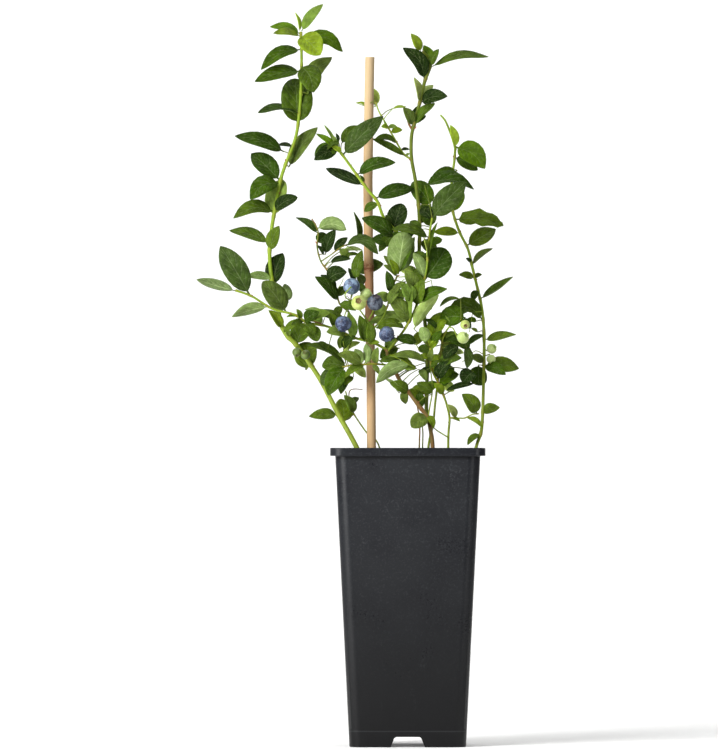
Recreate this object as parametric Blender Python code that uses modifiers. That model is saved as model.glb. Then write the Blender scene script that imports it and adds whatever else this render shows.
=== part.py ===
"""Potted blueberry bush: a deep square nursery pot with soil, a cane stake, stems, leaves and berries.

Lengths at the top are in millimetres from the pot's own axis; x is across the front, y is depth
(negative toward the front), z is up from the ground. Every piece is modelled in metres around that
axis and hangs under one empty, which sets the origin at the centre of the bottom of the bush's
bounding box.
"""
import math

import bmesh
import bpy
from mathutils import Vector, noise

# ---------------------------------------------------------------- driving dimensions (mm)
POT_SHIFT = (47.5, 0.0)          # pot axis, measured from the origin of the frame
POT_HEIGHT = 289.0
RIM_HALF = 75.0                  # half the outer width of the rim collar
RIM_BAND = 7.0                   # height of the collar
BODY_TOP_HALF = 69.0             # half the outer width just under the collar
BODY_FOOT_HALF = 56.5            # half the outer width at the ground
WALL = 1.8
FLOOR_Z = 15.4                   # underside of the raised floor
FLOOR_THICK = 2.4
CORNER_RADIUS = 10.0
RIM_CORNER_RADIUS = 12.0
NOTCH_TOP_Z = 10.0
NOTCH_TOP_HALF = 11.5
NOTCH_FOOT_HALF = 14.5
DRAIN_RADIUS = 6.0
DRAIN_OFFSET = 30.0
SOIL_TOP_Z = 262.0
SOIL_LUMP = 1.6
FOOT_CHAMFER = 24.0              # solid corners left under the floor, as feet
GAP = 0.3                        # clearance between pieces that touch
ROOT_Z = 242.0                   # how far the stems are set into the soil
SOCKET_RISE = 12.0               # how far at least a socket's cutter stands above the soil
STAKE_BORE_RADIUS = 2.6
STAKE_BORE_DEPTH = 18.0
LEAF_THICK = 0.8
LEAF_CUP = 0.16                  # how far a blade's edges rise, as a share of its half width
LEAF_COLUMNS = 4
PETIOLE_HALF = 0.55
PETIOLE_STEP = 1.1               # first straight length of a leaf stalk, square to its stem
LEAF_CLEAR = 2.4                 # least distance of a blade's base from its stem's surface
STALK_RADIUS = 0.6               # berry stalks
STEM_SIDES = 1                   # bevel resolution of the stems
STEM_STEP = 12.0                 # distance between the rings of a stem

# How far each stem, with all it carries, leans away from the front for every unit of its height
# above the soil; the others lean forward. Pieces move along the line of sight from the front, a
# point in metres in the frame, so that their outline from the front stays the same.
LEANS = {"left_cane": 0.085, "right_cane": 0.075, "rear_twig": 0.085}
LEAN_FORWARD = -0.095
SIGHT_FROM = Vector((0.0006, -8.07, 0.292))

BUILT = bpy.data.collections.new("potted_blueberry_bush")
CUTTERS = bpy.data.collections.new("cutters")

# Stems: name, material, parent (None for one that is rooted in the soil), radius at its start and
# its end, then the points (x, y, z) its axis runs through. A side stem leaves its parent's surface
# beside its first point.
STEMS = [
    ("left_cane", "green_stem", None, 2.9, 1.35, [
        (-28, -17, ROOT_Z), (-49.5, -13, 289), (-67.2, -9, 321), (-85, -5, 355), (-105.6, 0, 385),
        (-119, 3, 400), (-125, 5, 420), (-131.7, 10, 453), (-133.7, 13, 480), (-131.3, 16, 503),
        (-128, 18, 522), (-123, 20, 548), (-118.3, 21, 563), (-108.3, 22, 590), (-104.2, 22, 620),
        (-103, 21, 645), (-102.7, 20, 668), (-103.4, 18, 692)]),
    ("woody_stem", "brown_stem", None, 2.3, 1.5, [
        (25, -2, ROOT_Z), (24.4, -2, 289), (22.7, -2, 303), (19.5, -3, 317), (10, -4, 330),
        (1, -5, 342), (-6.5, -5, 352), (-13.6, -6, 365), (-18.6, -7, 374), (-20, -7, 383)]),
    ("tall_stem", "green_stem", None, 2.0, 1.65, [
        (26, 10, ROOT_Z), (24.4, 9, 289), (21.5, 9, 310), (18.5, 9, 325), (19, 9, 350),
        (19, 8, 385), (16, 7, 420), (12.6, 6, 450), (11.5, 5, 477), (11.9, 3, 499), (11, 1, 519),
        (8, -2, 545), (4, -5, 568), (3.8, -8, 588), (6.2, -10, 600), (12.2, -13, 623),
        (16.6, -16, 642), (21.6, -18, 656), (20.8, -19, 664), (14, -20, 671)]),
    ("centre_cane", "green_stem", None, 1.35, 0.8, [
        (16.5, 4.2, ROOT_Z), (20.4, 3.8, 289), (24.8, 3.7, 311), (27, 3.7, 332), (29.5, 3.7, 352),
        (31.6, 3.5, 372), (32.8, 2, 386), (35.5, 0, 397), (40, -2, 404.5), (46, -4, 409.5),
        (52, -5, 412)]),
    ("right_shoot", "green_stem", None, 1.35, 0.9, [
        (40, 2, ROOT_Z), (39.5, 2, 289), (40, 1, 305), (40.8, 0, 317), (38, -1, 330),
        (34.5, -2, 340), (30.6, -3, 350), (25.5, -4, 359), (22.8, -4, 368), (22.2, -4, 385)]),
    ("right_cane", "green_stem", None, 1.9, 1.3, [
        (54, -5, ROOT_Z), (66.6, -4, 289), (71.2, -3, 303), (72.7, -1, 318), (73.6, 2, 345),
        (74.4, 6, 380), (74, 9, 405), (72, 12, 425), (67.5, 15, 445), (63.2, 17, 463),
        (58.8, 19, 481), (50.5, 21, 498), (44.4, 22, 517), (43, 22, 533), (43.2, 21, 548),
        (45.6, 20, 566), (46.6, 18, 580)]),
    ("rear_twig", "green_stem", None, 0.9, 0.7, [
        (-22, 12, ROOT_Z), (-27.3, 12, 289), (-39.7, 13, 303), (-52, 13, 321), (-56, 14, 330),
        (-60, 15, 343)]),
    ("left_twig", "brown_stem", "woody_stem", 1.3, 1.1, [
        (-22, -8.5, 388.3), (-34, -10.5, 390), (-50, -12, 394), (-64, -12.5, 400),
        (-80, -14, 406), (-97, -17, 409), (-110, -20, 417), (-130, -24, 422),
        (-150, -29, 434), (-166, -34, 440)]),
    ("centre_stem", "green_stem", "woody_stem", 1.2, 0.95, [
        (-17, -8, 381), (-10, -9, 393), (-2, -10, 404), (6, -11, 419), (11, -12, 433),
        (15.3, -13, 447), (18.4, -15, 462), (20, -17, 480), (21.4, -20, 496), (23.8, -23, 510)]),
    ("low_twig", "green_stem", "woody_stem", 0.95, 0.7, [
        (-16.5, -8, 366.6), (-30, -11, 369), (-42, -12, 368.6), (-54, -11, 368), (-63, -9, 366)]),
    ("upper_left_twig", "green_stem", "left_twig", 0.95, 0.75, [
        (-50.6, -9, 397), (-54, -6, 412), (-57, -5, 419.5), (-65.5, -3, 427.5), (-69.5, 0, 441),
        (-77, 4, 458.5), (-84, 7, 469), (-87.5, 10, 483), (-86.7, 13, 498), (-92.5, 15, 510)]),
    ("fruit_spur", "green_stem", "left_twig", 0.85, 0.65, [
        (-31.2, -12, 392), (-33, -14, 403), (-37, -15, 408), (-41, -16, 414), (-46, -16, 421),
        (-55, -15, 431)]),
    ("middle_twig", "green_stem", "fruit_spur", 0.9, 0.8, [
        (-30.6, -13, 404.6), (-25, -12, 412), (-19.4, -12, 425), (-16.4, -13, 439), (-9.5, -14, 455)]),
    ("crossing_stem", "green_stem", "tall_stem", 1.75, 1.3, [
        (9.5, 3, 466), (4, -1, 479), (-11, -8, 497), (-23, -10.5, 511), (-29, -11, 526),
        (-38, -11.5, 537), (-49, -12, 552), (-64.6, -15, 573.5)]),
    ("thin_twig", "green_stem", "tall_stem", 1.0, 0.7, [
        (1.2, -3, 566.4), (-4, -2, 573), (-10.5, 1, 584), (-19.5, 5, 600), (-27.5, 9, 614),
        (-30.4, 11, 623)]),
    ("side_twig", "green_stem", "right_shoot", 0.8, 0.6, [
        (43, 0, 317.4), (50, -2, 316.7), (56, -5, 317), (63, -8, 320.4), (69, -10, 321)]),
    ("upper_side_twig", "green_stem", "upper_left_twig", 0.7, 0.6, [
        (-82, 4, 469.6), (-74, 0, 475), (-66, -4, 481), (-60.5, -7, 484)]),
]

# Leaves: name, stem, blade base (x, z), tip (x, z), width, roll about the midrib (degrees, zero shows
# the whole blade from the front), side (1 upper face to the front, -1 underside), y of the base and
# of the tip from the stem's axis, and the height of the midrib's arch above its chord.
LEAVES = [
    ("leaf_top_right", "left_cane", (-101, 694), (-82, 716), 10, 20, 1, 0, -9, 2),
    ("leaf_top_left", "left_cane", (-106, 690), (-133, 697), 10, 30, 1, 0, 12, 3),
    ("leaf_arched_right", "left_cane", (-101, 684), (-62.5, 671), 15, 50, 1, 0, 14, 12),
    ("leaf_curled_left", "left_cane", (-106, 674), (-139.5, 652), 15, 50, 1, 0, -18, 6),
    ("leaf_drooping_left", "left_cane", (-106, 655), (-147, 643), 16, 45, 1, 0, -14, 8),
    ("leaf_grey_right", "left_cane", (-100, 648), (-73, 666), 17, 30, 1, 0, 14, 3),
    ("leaf_round_rear", "left_cane", (-106, 606), (-110, 648), 31, 5, 1, 6, 12, 0),
    ("leaf_long_left", "left_cane", (-121, 577), (-167, 591.5), 18, 25, 1, -2, -16, 4),
    ("leaf_inner_right", "left_cane", (-114.5, 562), (-87.5, 600), 16, 25, 1, 7, 10, 2),
    ("leaf_upper_fan", "left_cane", (-127, 550), (-151, 575), 20, 15, 1, 0, 12, 3),
    ("leaf_lower_fan", "left_cane", (-128, 545), (-151, 528.5), 19, 20, 1, -5, -20, 4),
    ("leaf_arched_left", "left_cane", (-134, 518), (-168, 511), 16, 40, 1, 0, -16, 8),
    ("leaf_wavy_left", "left_cane", (-137, 487), (-173, 499.5), 14, 40, 1, 0, 16, 3),
    ("leaf_broad_left", "left_twig", (-152, 440), (-181, 484), 24, 10, 1, 0, 8, -2),
    ("leaf_far_left", "left_twig", (-168, 441), (-203.5, 451.5), 12, 45, -1, 0, -10, 3),
    ("leaf_over_stake", "crossing_stem", (-60, 573), (-24, 608.5), 20, 15, 1, -5, -14, 3),
    ("leaf_right_of_stake", "crossing_stem", (-46, 554), (-12, 564.5), 14, 30, 1, -3, -9, 4),
    ("leaf_left_of_stake", "crossing_stem", (-44, 541), (-79, 560), 13, 35, 1, 0, 13, -1),
    ("leaf_pale_centre", "middle_twig", (-9, 461), (-3, 497), 26, 5, -1, -2, -9, 0),
    ("leaf_dark_crown", "tall_stem", (14.5, 645), (-4, 674), 17, 15, 1, -2, -12, 4),
    ("leaf_long_right", "tall_stem", (24, 656), (78, 667), 11, 40, 1, 0, -12, 5),
    ("leaf_short_right", "tall_stem", (14.5, 622), (38, 628), 15, 25, 1, 0, -14, 2),
    ("leaf_round_right", "right_cane", (49, 578), (74, 559), 25, 15, 1, 0, -14, 8),
    ("leaf_broad_centre", "centre_stem", (25.5, 512), (56, 545), 23, 10, 1, -2, -8, 1),
    ("leaf_ragged_right", "right_cane", (51, 511), (93, 504), 17, 25, 1, 0, -14, 4),
    ("leaf_lower_right", "right_cane", (61, 486), (86, 501), 17, 15, 1, 0, 14, 0),
    ("leaf_broad_right", "centre_stem", (20, 455), (35, 483), 25, 8, 1, 1, 6, 0),
    ("leaf_far_right", "right_cane", (79, 368), (108.5, 365), 16, 15, 1, 1, 9, 2),
]

# Berries: name, material, centre (x, y, z), radius, stem it hangs from, points its stalk passes
# through from the berry outward. The crown is on the side away from the stalk.
BERRIES = [
    ("berry_upper_blue", "ripe_berry", (-54, -21, 444), 8.1, "fruit_spur",
     [(-55.2, -30.5, 442.6), (-60, -29, 437), (-59.6, -22, 433)], (-54, -15, 430)),
    ("berry_left_blue", "ripe_berry", (-62, -22, 408), 8.0, "upper_left_twig",
     [(-60.3, -20, 417.5), (-58.5, -13, 421)], (-57.5, -5, 420)),
    ("berry_green_front", "green_berry", (-47, -28, 428), 7.4, "fruit_spur",
     [(-46.6, -19, 425.5)], (-46, -16, 421)),
    ("berry_green_rear", "green_berry", (-40, -13, 436), 6.0, "fruit_spur",
     [(-42.5, -14.5, 428)], (-46, -16, 421)),
    ("berry_dark", "dark_berry", (-31.5, -25, 428), 8.0, "fruit_spur",
     [(-33.5, -20, 419.5), (-36.5, -17, 414)], (-39, -15.5, 411)),
    ("berry_right_blue", "ripe_berry", (-20.3, -21, 398), 7.9, "fruit_spur",
     [(-27.6, -18.5, 403.4), (-30.5, -17.5, 404.5)], (-34, -14.3, 404.4)),
    ("berry_pale_lower", "green_berry", (53.6, -15, 394.5), 6.0, "centre_cane",
     [(49, -11.5, 399.5), (44.5, -8, 403)], (40.5, -2.5, 405)),
    ("berry_pale_upper", "green_berry", (55.6, -13, 407), 5.5, "centre_cane",
     [(54.8, -6.5, 409)], (50, -4.5, 411.2)),
    ("berry_right_upper", "green_berry", (81.6, 5, 384), 4.9, "right_cane",
     [(79.5, 10.2, 386)], (74.4, 6, 386.5)),
    ("berry_right_lower", "green_berry", (81, 1, 374), 4.5, "right_cane",
     [(79.2, 6, 374.5)], (74.2, 5, 373)),
    ("berry_left_front", "olive_berry", (-107, -9.2, 380.4), 4.6, "left_cane",
     [(-107.8, -5.5, 384.5)], (-107, 0, 387)),
    ("berry_left_rear", "olive_berry", (-98.6, -14.5, 378), 4.7, "left_cane",
     [(-97.4, -9.4, 374.5)], (-99, -2, 373)),
]

STAKE = [(-34.6, 0, 120, 4.3), (-34.7, 0, 245, 4.4), (-34.8, 0, 289, 4.4), (-35.3, 0, 354, 4.4),
         (-36.4, 0, 410, 4.4), (-37.3, 0, 456, 4.5), (-37.4, 0, 462, 5.0), (-37.5, 0, 468, 4.5),
         (-38.3, 0, 547, 4.6), (-37.7, 0, 588, 4.6), (-36.4, 0, 666, 4.5)]

COLOURS = {
    "pot_plastic": ((0.035, 0.037, 0.041), 0.5), "potting_soil": ((0.035, 0.020, 0.012), 0.95),
    "bamboo": ((0.60, 0.43, 0.24), 0.55), "green_stem": ((0.28, 0.42, 0.045), 0.45),
    "brown_stem": ((0.14, 0.06, 0.02), 0.6), "leaf": ((0.04, 0.11, 0.015), 0.4),
    "ripe_berry": ((0.17, 0.22, 0.40), 0.5), "dark_berry": ((0.035, 0.042, 0.09), 0.45),
    "green_berry": ((0.50, 0.62, 0.19), 0.4), "olive_berry": ((0.20, 0.28, 0.07), 0.45),
}


# ---------------------------------------------------------------- small helpers
def metres(p):
    """A point given in mm, in metres."""
    return Vector(p) / 1000.0


def material(slot):
    found = bpy.data.materials.get(slot)
    if found:
        return found
    colour, rough = COLOURS[slot]
    made = bpy.data.materials.new(slot)
    made.use_nodes = True
    shader = made.node_tree.nodes["Principled BSDF"]
    shader.inputs["Base Color"].default_value = (*colour, 1.0)
    shader.inputs["Roughness"].default_value = rough
    return made


def add_object(name, mesh, slot=None, cutter=False):
    obj = bpy.data.objects.new(name, mesh)
    obj.parent = bpy.data.objects["pot_axis"]
    (CUTTERS if cutter else BUILT).objects.link(obj)
    if cutter:
        obj.hide_render = True
        obj.display_type = "WIRE"
    else:
        mesh.materials.clear()
        mesh.materials.append(material(slot))
    return obj


def mesh_from(bm, name):
    bmesh.ops.recalc_face_normals(bm, faces=bm.faces)
    mesh = bpy.data.meshes.new(name)
    bm.to_mesh(mesh)
    bm.free()
    return mesh


def apply_modifiers(obj):
    """Replace the object's mesh with the result of its modifiers."""
    bpy.context.view_layer.update()
    evaluated = obj.evaluated_get(bpy.context.evaluated_depsgraph_get())
    mesh = bpy.data.meshes.new_from_object(evaluated)
    obj.modifiers.clear()
    obj.data = mesh
    return obj


def boolean(obj, other, operation):
    mod = obj.modifiers.new(operation.lower(), "BOOLEAN")
    mod.operation = operation
    mod.solver = "EXACT"
    mod.object = other
    apply_modifiers(obj)


def smooth_path(points, step):
    """Points about `step` apart on a smooth curve through the given ones."""
    pts = [Vector(p) for p in points]
    ends = [pts[0] * 2 - pts[1]] + pts + [pts[-1] * 2 - pts[-2]]
    out = []
    for i in range(1, len(ends) - 2):
        a, b, c, d = ends[i - 1:i + 3]
        parts = max(1, round((c - b).length / step))
        for k in range(parts):
            t = k / parts
            out.append(0.5 * (2 * b + (c - a) * t + (2 * a - 5 * b + 4 * c - d) * t * t
                              + (3 * b - a - 3 * c + d) * t ** 3))
    out.append(pts[-1])
    return out


def tube(name, path, radii, slot=None, cutter=False, sides=STEM_SIDES):
    """A closed tube along a path in mm, with one radius per point."""
    curve = bpy.data.curves.new(name, "CURVE")
    curve.dimensions = "3D"
    curve.bevel_depth = 0.001
    curve.bevel_resolution = sides
    curve.use_fill_caps = True
    spline = curve.splines.new("POLY")
    spline.points.add(len(path) - 1)
    for point, place, radius in zip(spline.points, path, radii):
        point.co = (*metres(place), 1.0)
        point.radius = radius
    holder = bpy.data.objects.new(name + "_line", curve)
    CUTTERS.objects.link(holder)
    bpy.context.view_layer.update()
    evaluated = holder.evaluated_get(bpy.context.evaluated_depsgraph_get())
    mesh = bpy.data.meshes.new_from_object(evaluated)
    bpy.data.objects.remove(holder)
    bm = bmesh.new()
    bm.from_mesh(mesh)
    bmesh.ops.remove_doubles(bm, verts=bm.verts, dist=1e-6)
    return add_object(name, mesh_from(bm, name), slot, cutter)


def nearest(stem, x, z):
    """The point of a built stem nearest to (x, z) as seen from the front: centre, direction, radius."""
    path, radii = PATHS[stem]
    best = None
    for i in range(len(path) - 1):
        a, b = path[i], path[i + 1]
        line = Vector((b.x - a.x, b.z - a.z))
        t = Vector((x - a.x, z - a.z)).dot(line) / max(line.length_squared, 1e-9)
        t = min(max(t, 0.0), 1.0)
        centre = a.lerp(b, t)
        far = math.hypot(centre.x - x, centre.z - z)
        if best is None or far < best[0]:
            best = (far, centre, (b - a).normalized(), radii[i] * (1 - t) + radii[i + 1] * t)
    return best[1:]


def off_axis(vector, along):
    return (vector - along * vector.dot(along)).normalized()


# ---------------------------------------------------------------- pot and soil
def rounded_prism(foot_half, top_half, z0, z1, radius, segments=3):
    """A square prism, tapered from foot to top, with rounded upright edges, in metres."""
    bm = bmesh.new()
    bmesh.ops.create_cube(bm, size=2.0)
    for v in bm.verts:
        half, z = (top_half, z1) if v.co.z > 0 else (foot_half, z0)
        v.co = (math.copysign(half, v.co.x), math.copysign(half, v.co.y), z)
    upright = [e for e in bm.edges if abs(e.verts[0].co.z - e.verts[1].co.z) > 1e-3]
    bmesh.ops.bevel(bm, geom=upright, offset=radius, segments=segments, profile=0.5,
                    affect="EDGES", clamp_overlap=True)
    for v in bm.verts:
        v.co = metres(v.co)
    return bm


def cutter(name, bm):
    return add_object(name, mesh_from(bm, name), cutter=True)


def half_at(z, inset=0.0):
    """Half width of the pot body at height z, less an inset."""
    body_top = POT_HEIGHT - RIM_BAND
    return BODY_FOOT_HALF + (BODY_TOP_HALF - BODY_FOOT_HALF) * z / body_top - inset


def notch(name, along_y):
    """A channel cut through two opposite sides of the pot's foot."""
    bm = bmesh.new()
    bmesh.ops.create_cube(bm, size=2.0)
    for v in bm.verts:
        width = NOTCH_TOP_HALF if v.co.z > 0 else NOTCH_FOOT_HALF
        z = NOTCH_TOP_Z if v.co.z > 0 else -2.0
        across, along = math.copysign(width, v.co.x), math.copysign(90.0, v.co.y)
        v.co = metres((across, along, z) if along_y else (along, across, z))
    return cutter(name, bm)


def build_pot():
    body_top = POT_HEIGHT - RIM_BAND
    inner_floor = FLOOR_Z + FLOOR_THICK
    pot = add_object("nursery_pot", mesh_from(
        rounded_prism(BODY_FOOT_HALF, BODY_TOP_HALF, 0, body_top + 1, CORNER_RADIUS), "pot"), "pot_plastic")
    collar = cutter("collar", rounded_prism(RIM_HALF, RIM_HALF, body_top, POT_HEIGHT, RIM_CORNER_RADIUS, 4))
    boolean(pot, collar, "UNION")
    inside_radius = CORNER_RADIUS - WALL
    inside = cutter("inside", rounded_prism(half_at(inner_floor, WALL), half_at(body_top + 4, WALL),
                                            inner_floor, body_top + 4, inside_radius))
    boolean(pot, inside, "DIFFERENCE")
    lip = cutter("lip", rounded_prism(RIM_HALF - WALL, RIM_HALF - WALL, body_top + WALL, POT_HEIGHT + 4,
                                      RIM_CORNER_RADIUS - WALL, 4))
    boolean(pot, lip, "DIFFERENCE")
    under = cutter("under", rounded_prism(half_at(0, WALL), half_at(FLOOR_Z, WALL), -4, FLOOR_Z,
                                           FOOT_CHAMFER, 1))
    boolean(pot, under, "DIFFERENCE")
    boolean(pot, notch("front_notch", True), "DIFFERENCE")
    boolean(pot, notch("side_notch", False), "DIFFERENCE")
    places = [(sx * DRAIN_OFFSET, sy * DRAIN_OFFSET) for sx in (-1, 1) for sy in (-1, 1)] + [(0, 0)]
    for i, (x, y) in enumerate(places):
        hole = tube(f"drain_{i}", [(x, y, FLOOR_Z - 3), (x, y, inner_floor + 3)], [DRAIN_RADIUS] * 2,
                    cutter=True, sides=4)
        boolean(pot, hole, "DIFFERENCE")
    return pot


def lean(piece, stem):
    """Carry a finished piece to the depth its stem leans to."""
    rate = LEANS.get(stem, LEAN_FORWARD)
    for v in piece.data.vertices:
        sight = v.co - SIGHT_FROM
        v.co += sight * (rate * max(v.co.z - SOIL_TOP_Z / 1000.0, 0.0) / sight.y)
    piece.data.update()


def build_soil():
    """A block of soil that fills the pot to a little below the rim, with a lumpy top."""
    cells = 12
    foot_z = FLOOR_Z + FLOOR_THICK + GAP
    top_half, foot_half = half_at(SOIL_TOP_Z, WALL + GAP), half_at(foot_z, WALL + GAP)
    radius = CORNER_RADIUS
    bm = bmesh.new()
    bmesh.ops.create_grid(bm, x_segments=cells, y_segments=cells, size=1.0)
    for v in bm.verts:
        x, y = v.co.x * top_half, v.co.y * top_half
        flat = max(abs(v.co.x), abs(v.co.y)) > 0.99
        core = top_half - radius
        if abs(x) > core and abs(y) > core:
            over = Vector((abs(x) - core, abs(y) - core))
            over = over.normalized() * min(over.length, radius)
            x, y = math.copysign(core + over.x, x), math.copysign(core + over.y, y)
        lump = 0.0 if flat else SOIL_LUMP * noise.noise(Vector((x, y, 3.0)) / 17.0)
        v.co = (x, y, SOIL_TOP_Z + lump)
    lower = bmesh.ops.extrude_face_region(bm, geom=bm.faces[:])
    for v in (g for g in lower["geom"] if isinstance(g, bmesh.types.BMVert)):
        v.co = (v.co.x * foot_half / top_half, v.co.y * foot_half / top_half, foot_z)
    inner = [f for f in bm.faces if all(abs(v.co.z - foot_z) < 1e-4 for v in f.verts)]
    bmesh.ops.dissolve_faces(bm, faces=inner)
    for v in bm.verts:
        v.co = metres(v.co)
    return add_object("potting_soil", mesh_from(bm, "soil"), "potting_soil")


def bore_socket(soil, name, start, toward, radius, sides=STEM_SIDES):
    """Open a straight socket in the soil around the buried end of a stem or the stake."""
    along = (toward - start).normalized()
    reach = max((SOIL_TOP_Z + SOCKET_RISE - start.z) / along.z, (toward - start).length)
    hole = tube(name + "_socket", [start - along * GAP, start + along * reach], [radius + GAP] * 2,
                cutter=True, sides=sides)
    if name in PATHS:
        lean(hole, name)
    boolean(soil, hole, "DIFFERENCE")


# ---------------------------------------------------------------- stake, stems, leaves, berries
def build_stake(soil):
    path = [Vector(p[:3]) for p in STAKE]
    radii = [p[3] for p in STAKE]
    stake = tube("cane_stake", path, radii, "bamboo", sides=3)
    top = path[-1]
    bore = tube("stake_bore", [top - Vector((0, 0, STAKE_BORE_DEPTH)), top + Vector((0, 0, 4))],
                [STAKE_BORE_RADIUS] * 2, cutter=True, sides=2)
    boolean(stake, bore, "DIFFERENCE")
    bore_socket(soil, "stake", path[0], path[1], max(radii[:3]) + GAP, sides=3)


def build_stem(spec, soil):
    name, slot, parent, r0, r1, points = spec
    if parent:
        first = Vector(points[0])
        centre, along, radius = nearest(parent, first.x, first.z)
        outward = off_axis(Vector(points[1]) * 0.3 + first * 0.7 - centre, along)
        begin = centre + outward * (radius + GAP)
        path = [begin, begin + outward * 1.6 * r0]
        path += smooth_path([begin + outward * 3.2 * r0] + points[1:], STEM_STEP)
    else:
        path = [Vector(points[0])] + smooth_path(points[1:], STEM_STEP)
    radii = [r0 + (r1 - r0) * i / (len(path) - 1) for i in range(len(path))]
    PATHS[name] = (path, radii)
    lean(tube(name, path, radii, slot), name)
    if not parent:
        bore_socket(soil, name, path[0], path[1], r0)


def blade_width(t):
    """Half width of a leaf along its blade, as a fraction of its greatest half width."""
    return (t ** 0.55) * ((1 - t) ** 0.75) / 0.4124


def build_leaf(spec):
    name, stem, base, tip, width, roll, side, y0, y1, arch = spec
    centre, along, radius = nearest(stem, *base)
    foot = Vector((base[0], centre.y + y0, base[1]))
    end = Vector((tip[0], centre.y + y1, tip[1]))
    outward = off_axis(foot - centre, along)
    if (foot - centre).dot(outward) < radius + LEAF_CLEAR:
        outward = off_axis((foot - centre) * 0.5 + (end - centre) * 0.1 + Vector((0, y0, 0)), along)
        foot = centre + outward * (radius + LEAF_CLEAR) + along * (foot - centre).dot(along)
    start = centre + outward * (radius + GAP)
    axis = (end - foot).normalized()
    rise = axis.cross(Vector((0, -1, 0))).normalized()
    rise = rise if rise.z >= 0 else -rise
    back = rise.cross(axis).normalized()
    back = back if back.y > 0 else -back
    angle = math.radians(roll)
    across = rise * math.cos(angle) + back * math.sin(angle) * side
    stations = [0.0, 0.07, 0.2, 0.36, 0.52, 0.68, 0.83, 0.94, 1.0]
    rows = [(start, PETIOLE_HALF), (start + outward * PETIOLE_STEP, PETIOLE_HALF)]
    for t in stations:
        place = foot.lerp(end, t) + rise * arch * 4 * t * (1 - t)
        half = width / 2 * blade_width(t) if 0 < t < 1 else 0.0
        rows.append((place, max(half, PETIOLE_HALF if t < 0.5 else 0.3)))
    bm = bmesh.new()
    bmesh.ops.create_grid(bm, x_segments=len(rows) - 1, y_segments=LEAF_COLUMNS, size=1.0)
    normal = axis.cross(across).normalized()
    normal = normal if normal.y * side < 0 else -normal
    for v in bm.verts:
        row = round((v.co.x + 1) / 2 * (len(rows) - 1))
        place, half = rows[row]
        turn = across
        if row < 2:
            turn = off_axis(across, outward)
        cup = LEAF_CUP * half * v.co.y ** 2 if row > 2 else 0.0
        v.co = metres(place + turn * half * v.co.y + normal * cup)
    mesh = mesh_from(bm, name)
    leaf = add_object(name, mesh, "leaf")
    thick = leaf.modifiers.new("thickness", "SOLIDIFY")
    thick.thickness = LEAF_THICK / 1000.0
    thick.offset = 0.0
    thick.use_even_offset = False
    apply_modifiers(leaf)
    lean(leaf, stem)


def build_berry(spec):
    name, slot, centre, radius, stem, stalk, hold = spec
    middle = Vector(centre)
    pole = (middle - Vector(stalk[0])).normalized()
    bm = bmesh.new()
    bmesh.ops.create_uvsphere(bm, u_segments=12, v_segments=8, radius=radius)
    cap = [f for f in bm.faces if all(v.co.z > radius * 0.9 for v in f.verts)]
    disc = bmesh.ops.dissolve_faces(bm, faces=cap)["region"][0]
    bmesh.ops.inset_region(bm, faces=[disc], thickness=radius * 0.06)
    ring = bmesh.ops.extrude_face_region(bm, geom=[disc])["geom"]
    bmesh.ops.delete(bm, geom=[disc], context="FACES_ONLY")
    top = next(g for g in ring if isinstance(g, bmesh.types.BMFace))
    bmesh.ops.translate(bm, verts=top.verts[:], vec=(0, 0, radius * 0.13))
    bmesh.ops.inset_region(bm, faces=[top], thickness=radius * 0.09)
    bmesh.ops.translate(bm, verts=top.verts[:], vec=(0, 0, -radius * 0.2))
    turn = Vector((0, 0, 1)).rotation_difference(pole).to_matrix()
    for v in bm.verts:
        v.co = metres(middle + turn @ v.co)
    berry = add_object(name, mesh_from(bm, name), slot)
    grip, along, stem_radius = nearest(stem, hold[0], hold[2])
    last = Vector(stalk[-1])
    outward = off_axis(last - grip, along)
    end = grip + outward * (stem_radius + GAP)
    inner = middle - pole * (radius - 1.6)
    path = smooth_path([inner] + stalk + [end + outward * 1.2], 4.0) + [end]
    stem_piece = tube(name + "_stalk", path, [STALK_RADIUS] * len(path), cutter=True)
    boolean(berry, stem_piece, "UNION")
    lean(berry, stem)


PATHS = {}                       # each built stem's axis and radii, by name


def build_all():
    for old in list(bpy.data.objects):
        bpy.data.objects.remove(old)
    bpy.context.scene.collection.children.link(BUILT)
    bpy.context.scene.collection.children.link(CUTTERS)
    pot_axis = bpy.data.objects.new("pot_axis", None)
    pot_axis.location = (POT_SHIFT[0] / 1000.0, POT_SHIFT[1] / 1000.0, 0.0)
    bpy.context.scene.collection.objects.link(pot_axis)
    build_pot()
    soil = build_soil()
    build_stake(soil)
    for spec in STEMS:
        build_stem(spec, soil)
    for spec in LEAVES:
        build_leaf(spec)
    for spec in BERRIES:
        build_berry(spec)
    for piece in CUTTERS.objects:
        piece.hide_viewport = True


build_all()
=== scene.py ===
"""Potted blueberry bush: the looks of a deep square nursery pot with soil, a cane stake and a
leafy bush in fruit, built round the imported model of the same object.

Lengths in the tables are in millimetres from the pot's own axis: x across the front, y in depth
(negative toward the front) and z up from the ground. Everything is modelled in metres.
"""

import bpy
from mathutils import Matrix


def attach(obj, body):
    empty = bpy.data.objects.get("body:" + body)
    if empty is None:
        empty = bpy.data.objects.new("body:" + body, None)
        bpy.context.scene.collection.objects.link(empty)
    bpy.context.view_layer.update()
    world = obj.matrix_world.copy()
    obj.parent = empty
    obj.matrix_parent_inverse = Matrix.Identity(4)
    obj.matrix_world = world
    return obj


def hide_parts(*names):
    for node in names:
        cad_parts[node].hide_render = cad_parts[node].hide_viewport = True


bl_info = {
    "name": "Potted Blueberry Bush",
    "version": (1, 0, 0),
    "blender": (4, 5, 0),
    "location": "3D View > Sidebar > Bush",
    "description": "Models a potted blueberry bush with its stems, leaves, berries, stake and pot",
    "category": "Object",
}

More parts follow.
